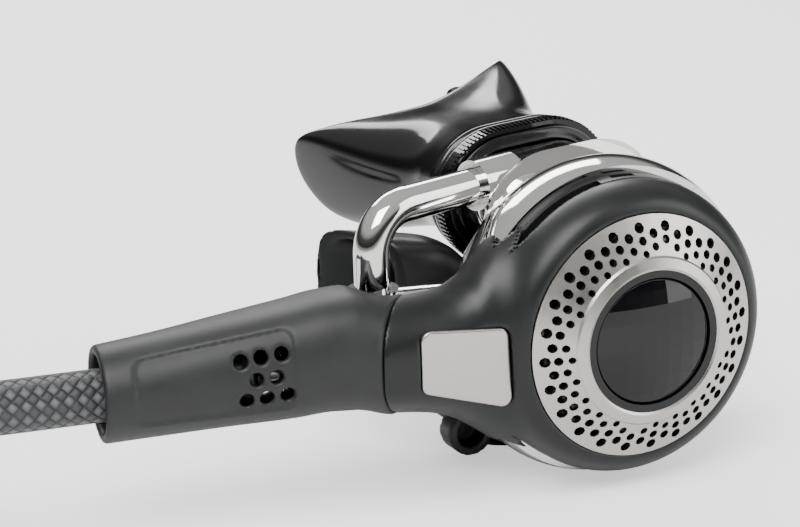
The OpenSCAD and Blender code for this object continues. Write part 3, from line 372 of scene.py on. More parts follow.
def net(field, low, high, step):
    """A mesh of quads on the surface where the field is 0; the field is negative inside the solid."""
    axes = [np.arange(low[k], high[k] + step, step) for k in range(3)]
    shape = tuple(len(a) for a in axes)
    gx, gy, gz = np.meshgrid(*axes, indexing="ij")
    value = field(np.stack([gx.ravel(), gy.ravel(), gz.ravel()], 1)).reshape(shape)
    inside = value < 0
    total = np.zeros(tuple(s - 1 for s in shape) + (3,))
    count = np.zeros(tuple(s - 1 for s in shape))
    cells = np.meshgrid(*[np.arange(s - 1) for s in shape], indexing="ij")
    cells = np.array(cells).transpose(1, 2, 3, 0)
    corner = [(i, j, k) for i in (0, 1) for j in (0, 1) for k in (0, 1)]

    def at(grid, c):
        return grid[c[0]:c[0] + shape[0] - 1, c[1]:c[1] + shape[1] - 1, c[2]:c[2] + shape[2] - 1]

    for p in corner:
        for axis in range(3):
            if p[axis]:
                continue
            q = tuple(1 if i == axis else p[i] for i in range(3))
            vp, vq = at(value, p), at(value, q)
            cut = at(inside, p) != at(inside, q)
            f = np.where(cut, vp / np.where(cut, vp - vq, 1), 0)
            spot = np.broadcast_to(np.array(p, float), total.shape).copy()
            spot[..., axis] += f
            total += np.where(cut[..., None], spot, 0)
            count += cut
    used = count > 0
    index = -np.ones(used.shape, int)
    index[used] = np.arange(used.sum())
    points = (cells[used] + total[used] / count[used][:, None]) * step + np.array(low, float)
    faces = []
    for axis in range(3):
        u, v = [k for k in range(3) if k != axis]
        cut = np.zeros(shape, bool)
        a = [slice(None)] * 3
        b = [slice(None)] * 3
        a[axis], b[axis] = slice(0, -1), slice(1, None)
        first, second = inside[tuple(a)], inside[tuple(b)]
        flat = np.argwhere(first != second)
        kept = (flat[:, u] > 0) & (flat[:, v] > 0)
        kept &= (flat[:, u] < shape[u] - 1) & (flat[:, v] < shape[v] - 1)
        flat = flat[kept]
        eu, ev = np.eye(3, dtype=int)[u], np.eye(3, dtype=int)[v]
        loop = [flat - eu - ev, flat - ev, flat, flat - eu]
        quad = np.stack([index[tuple(c.T)] for c in loop], 1)
        turn = first[tuple(flat.T)] ^ (axis == 1)
        quad[~turn] = quad[~turn][:, ::-1]
        faces.append(quad)
    quads = np.concatenate(faces)
    eps = 0.02
    for _ in range(6):
        f = field(points)
        g = np.stack([(field(points + d) - field(points - d)) / (2 * eps) for d in np.eye(3) * eps], 1)
        n2 = (g * g).sum(1)
        move = -f[:, None] * g / np.maximum(n2, 0.05)[:, None]
        length = np.linalg.norm(move, axis=1, keepdims=True)
        points = points + move * np.minimum(1, 0.35 * step / np.maximum(length, 1e-9))
    return points, quads


def build(name, points, faces, slot, body="root", mat=None):
    """A mesh object in the row frame from case-frame points, smooth, with its material and body."""
    mesh = bpy.data.meshes.new(name)
    mesh.from_pydata([tuple(p) for p in row(points)], [], [tuple(int(i) for i in f) for f in faces])
    mesh.validate()
    bm = bmesh.new()
    bm.from_mesh(mesh)
    bmesh.ops.recalc_face_normals(bm, faces=bm.faces)
    bm.to_mesh(mesh)
    bm.free()
    mesh.polygons.foreach_set("use_smooth", [True] * len(mesh.polygons))
    mesh.materials.append(mat or material(slot))
    obj = bpy.data.objects.new(name, mesh)
    bpy.context.scene.collection.objects.link(obj)
    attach(obj, body)
    return obj


def smooth_through(xs, ys):
    """A smooth curve through the points, as a function: monotone cubic pieces."""
    xs, ys = np.array(xs, float), np.array(ys, float)
    h = np.diff(xs)
    d = np.diff(ys) / h
    between = 2 * d[1:] * d[:-1] / (d[1:] + d[:-1] + 1e-12)
    m = np.concatenate([[d[0]], np.where(d[1:] * d[:-1] > 0, between, 0), [d[-1]]])

    def at(x):
        x = np.clip(x, xs[0], xs[-1])
        i = np.clip(np.searchsorted(xs, x) - 1, 0, len(h) - 1)
        t = (x - xs[i]) / h[i]
        return ((1 + 2 * t) * (1 - t) ** 2 * ys[i] + t * (1 - t) ** 2 * h[i] * m[i]
                + t * t * (3 - 2 * t) * ys[i + 1] + t * t * (t - 1) * h[i] * m[i + 1])
    return at


# the cover's arm: half heights over and under the inlet axis and the front, from the far end inwards
ARM_AT = [-61, -56, -51, -46, -42, -38, -34, -30, -26, -22]
ARM_UP = smooth_through(ARM_AT, [12.9, 13.1, 13.2, 13.3, 13.7, 15.4, 19.2, 22.4, 24.5, 26])
ARM_DN = smooth_through(ARM_AT, [11.8, 12.5, 13.3, 14.4, 15.8, 17.8, 20.6, 23.6, 25.8, 27.4])
ARM_FRONT = smooth_through(ARM_AT, [5.2, 5, 4.8, 4.6, 4.4, 4.1, 3.8, 3.6, 3.6, 3.8])


def oval_field(a, b, half_a, half_b, n):
    """Distance to a rounded box section, good to first order near its surface."""
    p, q = np.abs(a) / half_a, np.abs(b) / half_b
    e = (p ** n + q ** n) ** (1 / n) + 1e-9
    g = np.hypot((p / e) ** (n - 1) / half_a, (q / e) ** (n - 1) / half_b)
    return (e - 1) / np.maximum(g, 1e-3)


def joint_side(p):
    """Distance from the slanted joint between cover and sleeve, positive towards the case."""
    return (p[:, 0] + ARM_END) * math.cos(JOINT_TILT) - (p[:, 1] - 5) * math.sin(JOINT_TILT)


BADGE_AT = (-40.9, 4.0, -0.7)
BADGE_CORNERS = [(-8.2, 6.7), (7.7, 5.0), (8.2, -8.4), (-8.2, -3.1)]
BADGE_CORNER_R = 2.2
BADGE_TILT = math.radians(-4)


def badge_distance(p):
    """Distance from the badge's outline, seen from the front, and depth behind its face."""
    x, y, z = (p - np.array(BADGE_AT)).T
    c, s = math.cos(BADGE_TILT), math.sin(BADGE_TILT)
    u, depth = x * c + y * s, y * c - x * s
    near = np.full(len(p), 1e9)
    inside = np.ones(len(p), bool)
    for a, b in zip(BADGE_CORNERS, BADGE_CORNERS[1:] + BADGE_CORNERS[:1]):
        ex, ez = b[0] - a[0], b[1] - a[1]
        wx, wz = u - a[0], z - a[1]
        f = np.clip((wx * ex + wz * ez) / (ex * ex + ez * ez), 0, 1)
        near = np.minimum(near, np.hypot(wx - f * ex, wz - f * ez))
        inside &= ex * wz - ez * wx <= 0
    return np.where(inside, -near, near) - BADGE_CORNER_R, depth


def cover_field(p):
    """The front cover: a dome round the ring and the arm along the inlet, hollowed from behind."""
    x, y, z = p.T
    r = np.hypot(x, z)
    rr = np.maximum(r - RING_R - 0.1, 0)
    dome = oval_field(rr, np.minimum(y - COVER_BACK_Y, 0), COVER_R - RING_R - 0.1,
                      COVER_BACK_Y - 0.1, 2)
    half = np.where(z > 0.6, ARM_UP(x), ARM_DN(x))
    deep = ARM_BACK_Y + 4 - ARM_FRONT(x)
    arm = oval_field(y - ARM_BACK_Y - 4, z - 0.6, deep, half, 2.7)
    arm = smax(arm, x + 20, 4)
    body = smin(dome, arm, 3.0)
    shell = smax(body, -(body + COVER_WALL), 0.5)
    shell = smax(shell, y - ARM_BACK_Y, 0.5)
    behind = np.minimum(np.maximum(r - COVER_R - 0.6, COVER_BACK_Y - y),
                        np.maximum(r - CASE_R - 0.3, CASE_FRONT_Y - y))
    shell = smax(shell, -behind, 0.4)
    # the ledge that the ring lies on, the ring's seat, the slanted end and the badge's recess
    ledge = np.maximum(np.abs(r - RING_R + 0.2) - 1.6, np.abs(y - 2.0) - 0.7)
    shell = smin(shell, ledge, 0.4)
    shell = smax(shell, RING_R - 1.6 - r, 0.3)
    shell = smax(shell, -np.maximum(r - RING_R - 0.1, y - 1.25), 0.25)
    shell = smax(shell, -joint_side(p), 0.6)
    edge, depth = badge_distance(p)
    return smax(shell, -np.maximum(edge - 0.2, depth - 0.9), 0.3)


def make_cover():
    points, faces = net(cover_field, (-62, -1.5, -35.5), (35.5, 17.5, 35.5), 0.62)
    return build("cover_shell", points, faces, "cover_plastic")


# sleeve: distance along it, height of its middle, half height, half depth, roundness
SLEEVE_S = [-16, -9, -4, 0, 3, 8, 16, 30, 44, 58]
SLEEVE_ZC = smooth_through(SLEEVE_S, [0.1, 0.3, 1.2, 2.7, 3.4, 3.45, 2.7, 1.8, 0.8, 0])
SLEEVE_H = smooth_through(SLEEVE_S, [12.6, 12.6, 12.8, 13, 13.1, 12.8, 12.4, 11.6, 10.9, 10.35])
SLEEVE_D = smooth_through(SLEEVE_S, [11.6, 11.6, 11.8, 12, 12.1, 12, 11.8, 11.3, 10.8, 10.35])
SLEEVE_HOLES = [(28.3, 6.6), (24, 7.1), (19.6, 7.4), (25.2, 2.5), (20.9, 2.6), (27.4, -1.9),
                (23.1, -1.8), (18.7, -1.5)]
SLEEVE_HOLE_R = 1.5
PANEL_FROM = 17
PANEL_TO = 50.6
PANEL_LOW = -4.6
PANEL_DEPTH = 0.55


def sleeve_frame(p):
    """Distance along the sleeve, sideways from it (front is negative) and up."""
    x, y = p[:, 0] + SLEEVE_X, p[:, 1] - INLET_Y
    c, s = math.cos(SWEEP), math.sin(SWEEP)
    return -x * c + y * s, x * s + y * c, p[:, 2]


def smooth_step(x):
    x = np.clip(x, 0, 1)
    return x * x * (3 - 2 * x)


def sleeve_field(p):
    """The rubber sleeve: a squarish root that turns round towards the hose, with drain holes."""
    s, v, w = sleeve_frame(p)
    squareness = 2.55 - 0.5 * smooth_step((s - 10) / 45)
    body = oval_field(v, w - SLEEVE_ZC(s), SLEEVE_D(s), SLEEVE_H(s), squareness)
    # shallow panel on the front, wider at the root, left bare
    up = 12.4 - (s - 16) * 0.11
    rect = smax(np.maximum(PANEL_FROM - s, s - PANEL_TO), np.maximum(PANEL_LOW - w, w - up), 2.5)
    front = smooth_step((-v - 4) / 3)
    outer = body + PANEL_DEPTH * front * smooth_step(0.5 - rect / 0.9)
    shell = smax(outer, -(body + SLEEVE_WALL), 0.5)
    shell = smax(shell, s - SLEEVE_END, 1.0)
    for hs, hw in SLEEVE_HOLES:
        hole = np.hypot(s - hs, w - hw) - SLEEVE_HOLE_R
        shell = smax(shell, -np.maximum(hole, v), 0.7)
    shell = smax(shell, joint_side(p) + 0.12, 0.6)
    # room for the housing's end and the nut, and for the bypass boss behind
    u, off = -p[:, 0], np.hypot(p[:, 1] - INLET_Y, p[:, 2])
    room = np.minimum(np.maximum(off - 9.5, np.maximum(46 - u, u - 58.4)),
                      np.maximum(off - 8.3, np.maximum(57.9 - u, u - 70.6)))
    shell = smax(shell, -room, 0.3)
    return smax(shell, -np.maximum(u - 59.5, 20 - p[:, 1]), 0.6)


def make_sleeve():
    points, faces = net(sleeve_field, (-121, 4, -16), (-48, 40, 19), 0.62)
    return build("sleeve_rubber", points, faces, "black_rubber")


TEE_X = [0, 9, 16, 22, 26, 31, 36, 45, 53]
TEE_Y = smooth_through(TEE_X, [44.6, 44.8, 45.4, 46.4, 47.2, 48.4, 49.8, 52, 54])
TEE_D = smooth_through(TEE_X, [9.9, 9.7, 9.2, 8.6, 8.2, 7.9, 7.6, 7.3, 7.1])
TEE_TOP = smooth_through(TEE_X, [3.6, 3.4, 4.2, 8, 11.5, 13.2, 13.8, 14.6, 15.3])
TEE_BOT = smooth_through(TEE_X, [-38, -38, -37, -33, -30, -26, -21.5, -13.5, -6.5])
TEE_TURN = math.radians(6)
TEE_LUG = (25.2, 32.5, -29.7)
TEE_LUG_R = 5.4
TEE_LUG_HOLE_R = 3.4
TEE_WALL = 2


def tee_field(q):
    """The exhaust tee: two wings under one port, open at their ends, with a lug on each side."""
    r = rolled(q, back=True)
    c, s = math.cos(TEE_TURN), math.sin(TEE_TURN)
    up = r[:, 2] + EXHAUST_Z
    x, y, z = np.abs(r[:, 0] * c - up * s), r[:, 1], r[:, 0] * s + up * c - EXHAUST_Z
    top, bot = TEE_TOP(x), TEE_BOT(x)
    outer = oval_field(y - TEE_Y(x), z - (top + bot) / 2, TEE_D(x), (top - bot) / 2, 4)
    low = np.maximum(bot, -AXIS_H)
    inner = oval_field(y - TEE_Y(x), z - (top + low) / 2, TEE_D(x) - TEE_WALL,
                       (top - low) / 2 - TEE_WALL, 4)
    lx, ly, lz = TEE_LUG
    lug = np.maximum(np.hypot(x - lx, z - lz) - TEE_LUG_R, np.maximum(ly - y, y - ly - 6))
    web = np.maximum(np.abs(x - lx + 2.5) - 3.5,
                     np.maximum(np.abs(y - ly - 6.5) - 4.5, np.abs(z - lz - 0.1) - 2.5))
    body = smin(outer, smin(lug, web, 0.8), 1.2)
    shell = smax(body, -inner, 0.5)
    # the outlets' slanted edges, the lugs' holes, the port's seat and the flat foot
    shell = smax(shell, x - 45 - 0.77 * (y - 52), 0.7)
    hole = np.maximum(np.hypot(x - lx, z - lz) - TEE_LUG_HOLE_R, y - ly - 5)
    shell = smax(shell, -hole, 0.4)
    port = np.maximum(np.hypot(r[:, 0], up) - EXHAUST_R - 1.35, y - 39)
    shell = smax(shell, -port, 0.3)
    return smax(shell, -AXIS_H - q[:, 2], 0.4)


def make_tee():
    points, faces = net(tee_field, (-53, 30, -37.5), (53, 62, 20.5), 0.68)
    return build("tee_shell", points, faces, "cover_plastic")


# ---------------------------------------------------------------- mouthpiece
FLANGE_HALF = np.array([
    (0, 12), (6, 12.4), (13, 12.8), (19, 13.2), (24, 12.8), (28, 11.4), (30, 8.5), (30.3, 3),
    (29.6, -3), (27.5, -9), (22.5, -13.5), (15, -16), (7.5, -16.4), (0, -16)])
MOUTH_YAW = 2.0
MOUTH_TURN = 8.0
RING_POINTS = 40


def flange_point(a):
    """A point of the lip flange's outline, by angle from the top."""
    k = len(FLANGE_HALF) - 1
    s = a / 180 * k if a <= 180 else (360 - a) / 180 * k
    i = min(int(s), k - 1)
    q = FLANGE_HALF[i] * (1 - (s - i)) + FLANGE_HALF[i + 1] * (s - i)
    return np.array([(1 if a <= 180 else -1) * q[0], q[1]])


def neck_point(a, r):
    """A point of the mouth tube's oval, by angle from the top, at radius r of its round ends."""
    x, z = math.sin(math.radians(a)), math.cos(math.radians(a))
    flat = 1000 if abs(z) < 0.001 else r * abs(x / z)
    if flat <= MOUTH_A:
        return np.array([flat * np.sign(x), r * np.sign(z)])
    t = MOUTH_A * abs(x) + math.sqrt(r * r - MOUTH_A ** 2 * z * z)
    return np.array([t * x, t * z])


def bent(x, y, z):
    """Turns the lip end of the mouthpiece a little, as it hangs on its soft neck."""
    f = min(1, max(0, (y - 60) / 26))
    yaw, turn = math.radians(MOUTH_YAW * f), math.radians(MOUTH_TURN * f)
    x, z = x * math.cos(turn) - z * math.sin(turn), x * math.sin(turn) + z * math.cos(turn)
    y -= 52
    return (x * math.cos(yaw) - y * math.sin(yaw), 52 + x * math.sin(yaw) + y * math.cos(yaw), z + f)


def lip_ring(y, w, r):
    """One ring of the mouthpiece: the neck's oval (w = 0) going over into the curled flange (w = 1)."""
    out = []
    for i in range(RING_POINTS):
        a = 360 * i / RING_POINTS
        q = neck_point(a, r) * (1 - w) + flange_point(a) * w
        curl = 15 * (q[0] / 33) ** 2 + 6 * (max(0, abs(q[0]) - 22) / 9) ** 2
        out.append(bent(q[0], y + w * curl, q[1]))
    return out


def loft(rings, loop=False):
    """Skin over rings of equal length, closed on itself or capped at both ends."""
    n = len(rings[0])
    points = [p for ring in rings for p in ring]
    faces = []
    for j in range(len(rings) - (0 if loop else 1)):
        k = (j + 1) % len(rings)
        for i in range(n):
            faces.append((j * n + i, j * n + (i + 1) % n, k * n + (i + 1) % n, k * n + i))
    if not loop:
        faces.append(tuple(range(n)))
        faces.append(tuple(range((len(rings) - 1) * n, len(rings) * n)))
    return points, faces


def subdivided(obj, levels):
    """Applies a subdivision surface, so that the piece ends as a plain mesh."""
    m = obj.modifiers.new("smooth", "SUBSURF")
    m.levels = m.render_levels = levels
    bpy.context.view_layer.update()
    new = bpy.data.meshes.new_from_object(obj.evaluated_get(bpy.context.evaluated_depsgraph_get()))
    obj.modifiers.clear()
    obj.data = new
    return obj


def make_mouthpiece():
    o = MOUTH_R + MOUTH_WALL
    e = CLAMP_Y + CLAMP_W
    rings = [
        (47.4, 0, o + 0.45), (47.7, 0, o + 0.5), (CLAMP_Y - 0.3, 0, o + 0.5), (CLAMP_Y - 0.1, 0, o),
        (e + 0.1, 0, o), (e + 0.3, 0, o + 1.7), (e + 1.0, 0, o + 1.75), (e + 2.0, 0, o + 1.7),
        (e + 2.5, 0, o + 0.5), (e + 3.1, 0, o + 0.5), (e + 3.6, 0, o + 1.3), (e + 4.8, 0, o + 1.3),
        (e + 5.4, 0, o + 0.3), (63, 0, o - 0.2),
        (70, -0.03, o - 1.2), (76, 0.12, o - 1.2), (81, 0.38, o - 1), (85, 0.7, o - 1),
        (88, 0.96, o - 1), (89.8, 1.02, o - 1), (91.2, 0.99, o - 1), (90.6, 0.9, o - 1.6),
        (89, 0.72, o - 2.4), (87.2, 0.5, o - 3.4), (83, 0.2, o - 4.4), (76, 0, o - 4.2),
        (66, 0, o - 3.4), (59, 0, MOUTH_R + 0.9), (56, 0, MOUTH_R + 0.9),
        (55.4, 0, MOUTH_R + 0.2), (48, 0, MOUTH_R + 0.2), (47.5, 0, MOUTH_R + 0.3)]
    points, faces = loft([lip_ring(*r) for r in rings], loop=True)
    points = [np.array(p) + (0, 0, MOUTH_Z) for p in points]
    obj = build("mouthpiece_soft", rolled(points), faces, "soft_silicone")
    subdivided(obj, 2)
    for m in (-1, 1):
        wing = []
        for k in range(11):
            f = k / 10
            y = 79 + 35.5 * f
            thick = 1.5 + (1.5 * smooth_step((f - 0.72) / 0.16)) * (1 if f < 0.97 else 0.6)
            tall = (9 - 2.2 * f) * (1 if k < 10 else 0.9)
            ring = []
            for i in range(24):
                c, s = math.cos(2 * math.pi * i / 24), math.sin(2 * math.pi * i / 24)
                ring.append(bent(m * (18.5 - f) + thick * np.sign(c) * abs(c) ** 0.7, y,
                                 -1 + tall * np.sign(s) * abs(s) ** 0.7))
            wing.append(ring)
        points, faces = loft(wing)
        points = [np.array(p) + (0, 0, MOUTH_Z) for p in points]
        name = "bite_wing_left" if m < 0 else "bite_wing_right"
        subdivided(build(name, rolled(points), faces, "soft_silicone"), 2)
    return obj


def badge_field(p):
    """The badge plate: flat, its front edge rounded over."""
    edge, depth = badge_distance(p)
    plate = smax(edge, -depth, 0.5)
    return smax(plate, depth - 0.8, 0.1)


def make_badge():
    points, faces = net(badge_field, (-53, 2.2, -13.5), (-28.5, 6.6, 10.2), 0.3)
    return build("badge_steel", points, faces, "ring_steel", mat=material("badge"))


# ---------------------------------------------------------------- turned soft pieces
def turned(name, profile, slot, z=0.0, steps=128, body="root", roll=False):
    """Revolves a closed profile of radius and depth about the case's axis, or one parallel to it."""
    rings = [[(r * math.cos(a), y, z + r * math.sin(a)) for r, y in profile]
             for a in (2 * math.pi * i / steps for i in range(steps))]
    points, faces = loft(rings, loop=True)
    obj = build(name, rolled(points) if roll else points, faces, slot, body)
    bm = bmesh.new()
    bm.from_mesh(obj.data)
    bmesh.ops.remove_doubles(bm, verts=bm.verts, dist=1e-6)
    bmesh.ops.recalc_face_normals(bm, faces=bm.faces)
    bm.to_mesh(obj.data)
    bm.free()
    return obj


def arc(cx, cy, r, a0, a1, n):
    angles = (math.radians(a0 + (a1 - a0) * i / n) for i in range(n + 1))
    return [(cx + r * math.cos(a), cy + r * math.sin(a)) for a in angles]


def make_diaphragm():
    inner = RIM_R - 2.9
    web = 0.8
    y = PLATE_Y
    profile = ([(PLATE_R + 0.3, y + web), (PLATE_R + 0.3, y)] + [(21.4, y)]
               + arc(23.6, y + 0.4, 2.2, -170, -10, 24)
               + [(inner, y), (inner, RIM_Y - 2), (RIM_R - 0.1, RIM_Y - 2), (RIM_R - 0.1, RIM_Y),
                  (inner, RIM_Y), (inner, y + web), (25.0, y + web)]
               + arc(23.6, y + 0.4, 1.4, 0, -180, 20) + [(22.2, y + web)])
    return turned("diaphragm_soft", profile, "soft_silicone")


def make_exhaust():
    b = CASE_BACK_Y
    profile = [(0.0, b - 4.6), (1.0, b - 4.4), (2.1, b - 2.1), (1.5, b - 1.8), (1.5, b + 2),
               (4, b + 2.0), (8, b + 2.05), (EXHAUST_R - 0.1, b + 2.0), (EXHAUST_R, b + 2.25),
               (EXHAUST_R - 0.1, b + 2.5), (9, b + 2.75), (5, b + 3.15), (3, b + 3.4), (0.0, b + 3.6)]
    return turned("exhaust_mushroom", profile, "soft_silicone", z=-EXHAUST_Z, steps=96, roll=True)


# ---------------------------------------------------------------- geometry nodes
def node_group(name, inputs):
    g = bpy.data.node_groups.new(name, "GeometryNodeTree")
    g.interface.new_socket("Geometry", in_out="INPUT", socket_type="NodeSocketGeometry")
    for label, kind, default in inputs:
        s = g.interface.new_socket(label, in_out="INPUT", socket_type=kind)
        if default is not None:
            s.default_value = default
    g.interface.new_socket("Geometry", in_out="OUTPUT", socket_type="NodeSocketGeometry")
    return g


def hose_tree():
    """A tube along a curve with its own map: turns round it, and metres along it."""
    g = node_group("hose_tube", [("Radius", "NodeSocketFloat", HOSE_R * MM),
                                 ("Around", "NodeSocketInt", 40), ("Step", "NodeSocketFloat", 0.0015),
                                 ("Material", "NodeSocketMaterial", None)])
    add = partial(add_node, g)
    given = add("NodeGroupInput").outputs
    place = add("GeometryNodeSplineParameter").outputs
    line = add("GeometryNodeResampleCurve", {"Curve": given["Geometry"], "Length": given["Step"]},
               mode="LENGTH")
    circle = add("GeometryNodeCurvePrimitiveCircle", {"Resolution": given["Around"],
                                                      "Radius": given["Radius"]})
    kept = []
    for label, curve, value in (("Length", line, place["Length"]), ("Turn", circle, place["Factor"])):
        node = add("GeometryNodeCaptureAttribute", {"Geometry": curve}, domain="POINT")
        node.capture_items.new("FLOAT", label)
        g.links.new(value, node.inputs[label])
        kept.append(node.outputs)
    result = add("GeometryNodeCurveToMesh", {"Curve": kept[0]["Geometry"], "Fill Caps": True,
                                             "Profile Curve": kept[1]["Geometry"]})
    for name, value in (("along", kept[0]["Length"]), ("turn", kept[1]["Turn"])):
        result = add("GeometryNodeStoreNamedAttribute", {"Geometry": result, "Name": name},
                     data_type="FLOAT", domain="POINT")
        g.links.new(value, result.inputs["Value"])
    smooth = add("GeometryNodeSetShadeSmooth", {"Geometry": result})
    real = add("GeometryNodeRealizeInstances", {"Geometry": smooth})
    paint = add("GeometryNodeSetMaterial", {"Geometry": real, "Material": given["Material"]})
    add("NodeGroupOutput", {"Geometry": paint})
    return g


def teeth_tree():
    """Small bars set across a band at equal steps along its curve."""
    g = node_group("band_teeth", [("Count", "NodeSocketInt", 96),
                                  ("Bar", "NodeSocketVector", (0.0007, 0.0005, 0.0032)),
                                  ("Material", "NodeSocketMaterial", None)])
    add = partial(add_node, g)
    given = add("NodeGroupInput").outputs
    even = add("GeometryNodeResampleCurve", {"Curve": given["Geometry"], "Count": given["Count"]},
               mode="COUNT")
    bar = add("GeometryNodeMeshCube", {"Size": given["Bar"]})
    align = add("FunctionNodeAlignEulerToVector", {"Vector": add("GeometryNodeInputTangent")}, axis="X")
    bars = add("GeometryNodeInstanceOnPoints", {"Points": even, "Instance": bar, "Rotation": align})
    real = add("GeometryNodeRealizeInstances", {"Geometry": bars})
    paint = add("GeometryNodeSetMaterial", {"Geometry": real, "Material": given["Material"]})
    add("NodeGroupOutput", {"Geometry": paint})
    return g


def evaluated(name, obj, tree, values):
    """Runs a node tree on an object, its inputs set by identifier, and keeps the plain mesh."""
    m = obj.modifiers.new("nodes", "NODES")
    m.node_group = tree
    for item in tree.interface.items_tree:
        if item.in_out == "INPUT" and item.name in values:
            m[item.identifier] = values[item.name]
    obj.update_tag()
    bpy.context.view_layer.update()
    mesh = bpy.data.meshes.new_from_object(obj.evaluated_get(bpy.context.evaluated_depsgraph_get()))
    mesh.name = name
    bpy.data.objects.remove(obj)
    new = bpy.data.objects.new(name, mesh)
    bpy.context.scene.collection.objects.link(new)
    return new


def curve_object(name, points, cyclic=False):
    """A curve of straight pieces through the points."""
    curve = bpy.data.curves.new(name, "CURVE")
    curve.dimensions = "3D"
    s = curve.splines.new("POLY")
    s.points.add(len(points) - 1)
    for b, p in zip(s.points, points):
        b.co = (*p, 1)
    s.use_cyclic_u = cyclic
    obj = bpy.data.objects.new(name, curve)
    bpy.context.scene.collection.objects.link(obj)
    return obj


def fine_route(points, per=8):
    """Catmull-Rom points through the route."""
    p = np.vstack([2 * points[0] - points[1], points, 2 * points[-1] - points[-2]])
    out = []
    for i in range(1, len(p) - 2):
        for k in range(per):
            t = k / per
            a, b, c, d = p[i - 1], p[i], p[i + 1], p[i + 2]
            square, cube = 2 * a - 5 * b + 4 * c - d, 3 * b - a - 3 * c + d
            out.append(0.5 * (2 * b + (c - a) * t + square * t * t + cube * t ** 3))
    out.append(p[-2])
    return np.array(out)


def make_hose():
    points = fine_route(hose_route())
    obj = evaluated("hose_braided", curve_object("hose_line", points), hose_tree(),
                    {"Radius": HOSE_R * MM, "Around": 40, "Step": 0.0015,
                     "Material": material("hose_braid")})
    mesh = obj.data
    uv = mesh.uv_layers.new(name="UVMap")
    loops = np.zeros(len(mesh.loops), int)
    mesh.loops.foreach_get("vertex_index", loops)
    flat = np.zeros((len(loops), 2))
    for column, name in enumerate(("turn", "along")):
        values = np.zeros(len(mesh.vertices))
        mesh.attributes[name].data.foreach_get("value", values)
        flat[:, column] = values[loops]
    # the seam's last strip runs up to one full turn instead of back to none
    for poly in mesh.polygons:
        ids = list(poly.loop_indices)
        us = flat[ids, 0]
        if len(ids) == 4 and us.max() - us.min() > 0.5:
            flat[ids, 0] = np.where(us < 0.5, us + 1, us)
    uv.data.foreach_set("uv", flat.ravel())
    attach(obj, "root")
    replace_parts(obj, "hose", "hose_coil")
    return obj


def make_teeth():
    r = MOUTH_R + MOUTH_WALL + 1.65 + 0.12
    y = CLAMP_Y + CLAMP_W / 2
    out = []
    for i in range(240):
        q = neck_point(360 * i / 240, r)
        out.append((q[0], y, q[1] + MOUTH_Z))
    points = row(rolled(out))
    obj = evaluated("clamp_teeth", curve_object("clamp_line", points, cyclic=True), teeth_tree(),
                    {"Count": 110, "Bar": (0.00045, 0.0030, 0.0004),
                     "Material": material("button_plastic")})
    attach(obj, "root")
    return obj


# ---------------------------------------------------------------- camera and studio
CAMERA = {"azimuth": -25.9, "elevation": 17.36, "roll": -1.86, "focal": 2754.7, "tx": 52.78,
          "ty": -15.69, "away": 600.0}
SENSOR = 36
FRAME_WIDTH = 800


def make_camera():
    a, e, w = (math.radians(CAMERA[k]) for k in ("azimuth", "elevation", "roll"))
    back = Vector((math.sin(a) * math.cos(e), -math.cos(a) * math.cos(e), math.sin(e)))
    right = Vector((math.cos(a), math.sin(a), 0))
    up = back.cross(right)
    r = right * math.cos(w) + up * math.sin(w)
    u = -right * math.sin(w) + up * math.cos(w)
    aside = -CAMERA["tx"] * r - CAMERA["ty"] * u + CAMERA["away"] * back
    at = (aside + Vector((0, -FOOT_Y, AXIS_H))) * MM
    data = bpy.data.cameras.new("photo_camera")
    data.sensor_width = SENSOR
    data.lens = CAMERA["focal"] * SENSOR / FRAME_WIDTH
    data.clip_start, data.clip_end = 0.01, 50
    cam = bpy.data.objects.new("photo_camera", data)
    cam.matrix_world = Matrix([(r[k], u[k], back[k], at[k]) for k in range(3)] + [(0, 0, 0, 1)])
    bpy.context.scene.collection.objects.link(cam)
    bpy.context.scene.camera = cam
    return cam


def area_light(name, at, target, size, power, size_y=None):
    data = bpy.data.lights.new(name, "AREA")
    data.energy = power
    data.size = size
    if size_y:
        data.shape = "RECTANGLE"
        data.size_y = size_y
    obj = bpy.data.objects.new(name, data)
    obj.location = at
    obj.rotation_euler = (Vector(target) - Vector(at)).to_track_quat("-Z", "Y").to_euler()
    bpy.context.scene.collection.objects.link(obj)
    return obj


def make_stage(floor_size, key, fill, rim):
    mesh = bpy.data.meshes.new("table_top")
    bm = bmesh.new()
    bmesh.ops.create_grid(bm, x_segments=2, y_segments=2, size=floor_size / 2)
    bm.to_mesh(mesh)
    bm.free()
    floor = bpy.data.objects.new("table_top", mesh)
    bpy.context.scene.collection.objects.link(floor)
    mesh.materials.append(material("table"))
    area_light("key_light", (-0.35, -0.45, 0.75), (-0.02, -0.02, 0.03), 0.55, key)
    area_light("fill_light", (0.65, -0.55, 0.35), (0, 0, 0.04), 0.5, fill, 0.7)
    area_light("rim_light", (0.1, 0.7, 0.6), (0, 0, 0.04), 0.7, rim, 0.3)
    world = bpy.data.worlds.new("studio")
    bpy.context.scene.world = world
    world.use_nodes = True
    world.node_tree.nodes.clear()
    add = partial(add_node, world.node_tree)
    # the room that shines back in chrome: dark at the horizon, pale overhead; the camera sees white
    place = add("ShaderNodeTexCoord").outputs["Generated"]
    ramp = add("ShaderNodeValToRGB", {0: add("ShaderNodeSeparateXYZ", {0: place}).outputs[2]})
    for end, level in zip(ramp.color_ramp.elements, (0.5, 0.95)):
        end.color = (level, level, level, 1)
    for position, level in ((0.06, 0.04), (0.25, 0.12), (0.42, 0.75)):
        ramp.color_ramp.elements.new(position).color = (level, level, level, 1)
    room = add("ShaderNodeBackground", {0: ramp, 1: 0.75})
    white = add("ShaderNodeBackground", {0: (1, 1, 1, 1), 1: 1.0})
    seen = add("ShaderNodeLightPath").outputs["Is Camera Ray"]
    add("ShaderNodeOutputWorld", {0: add("ShaderNodeMixShader", {0: seen, 1: room, 2: white})})


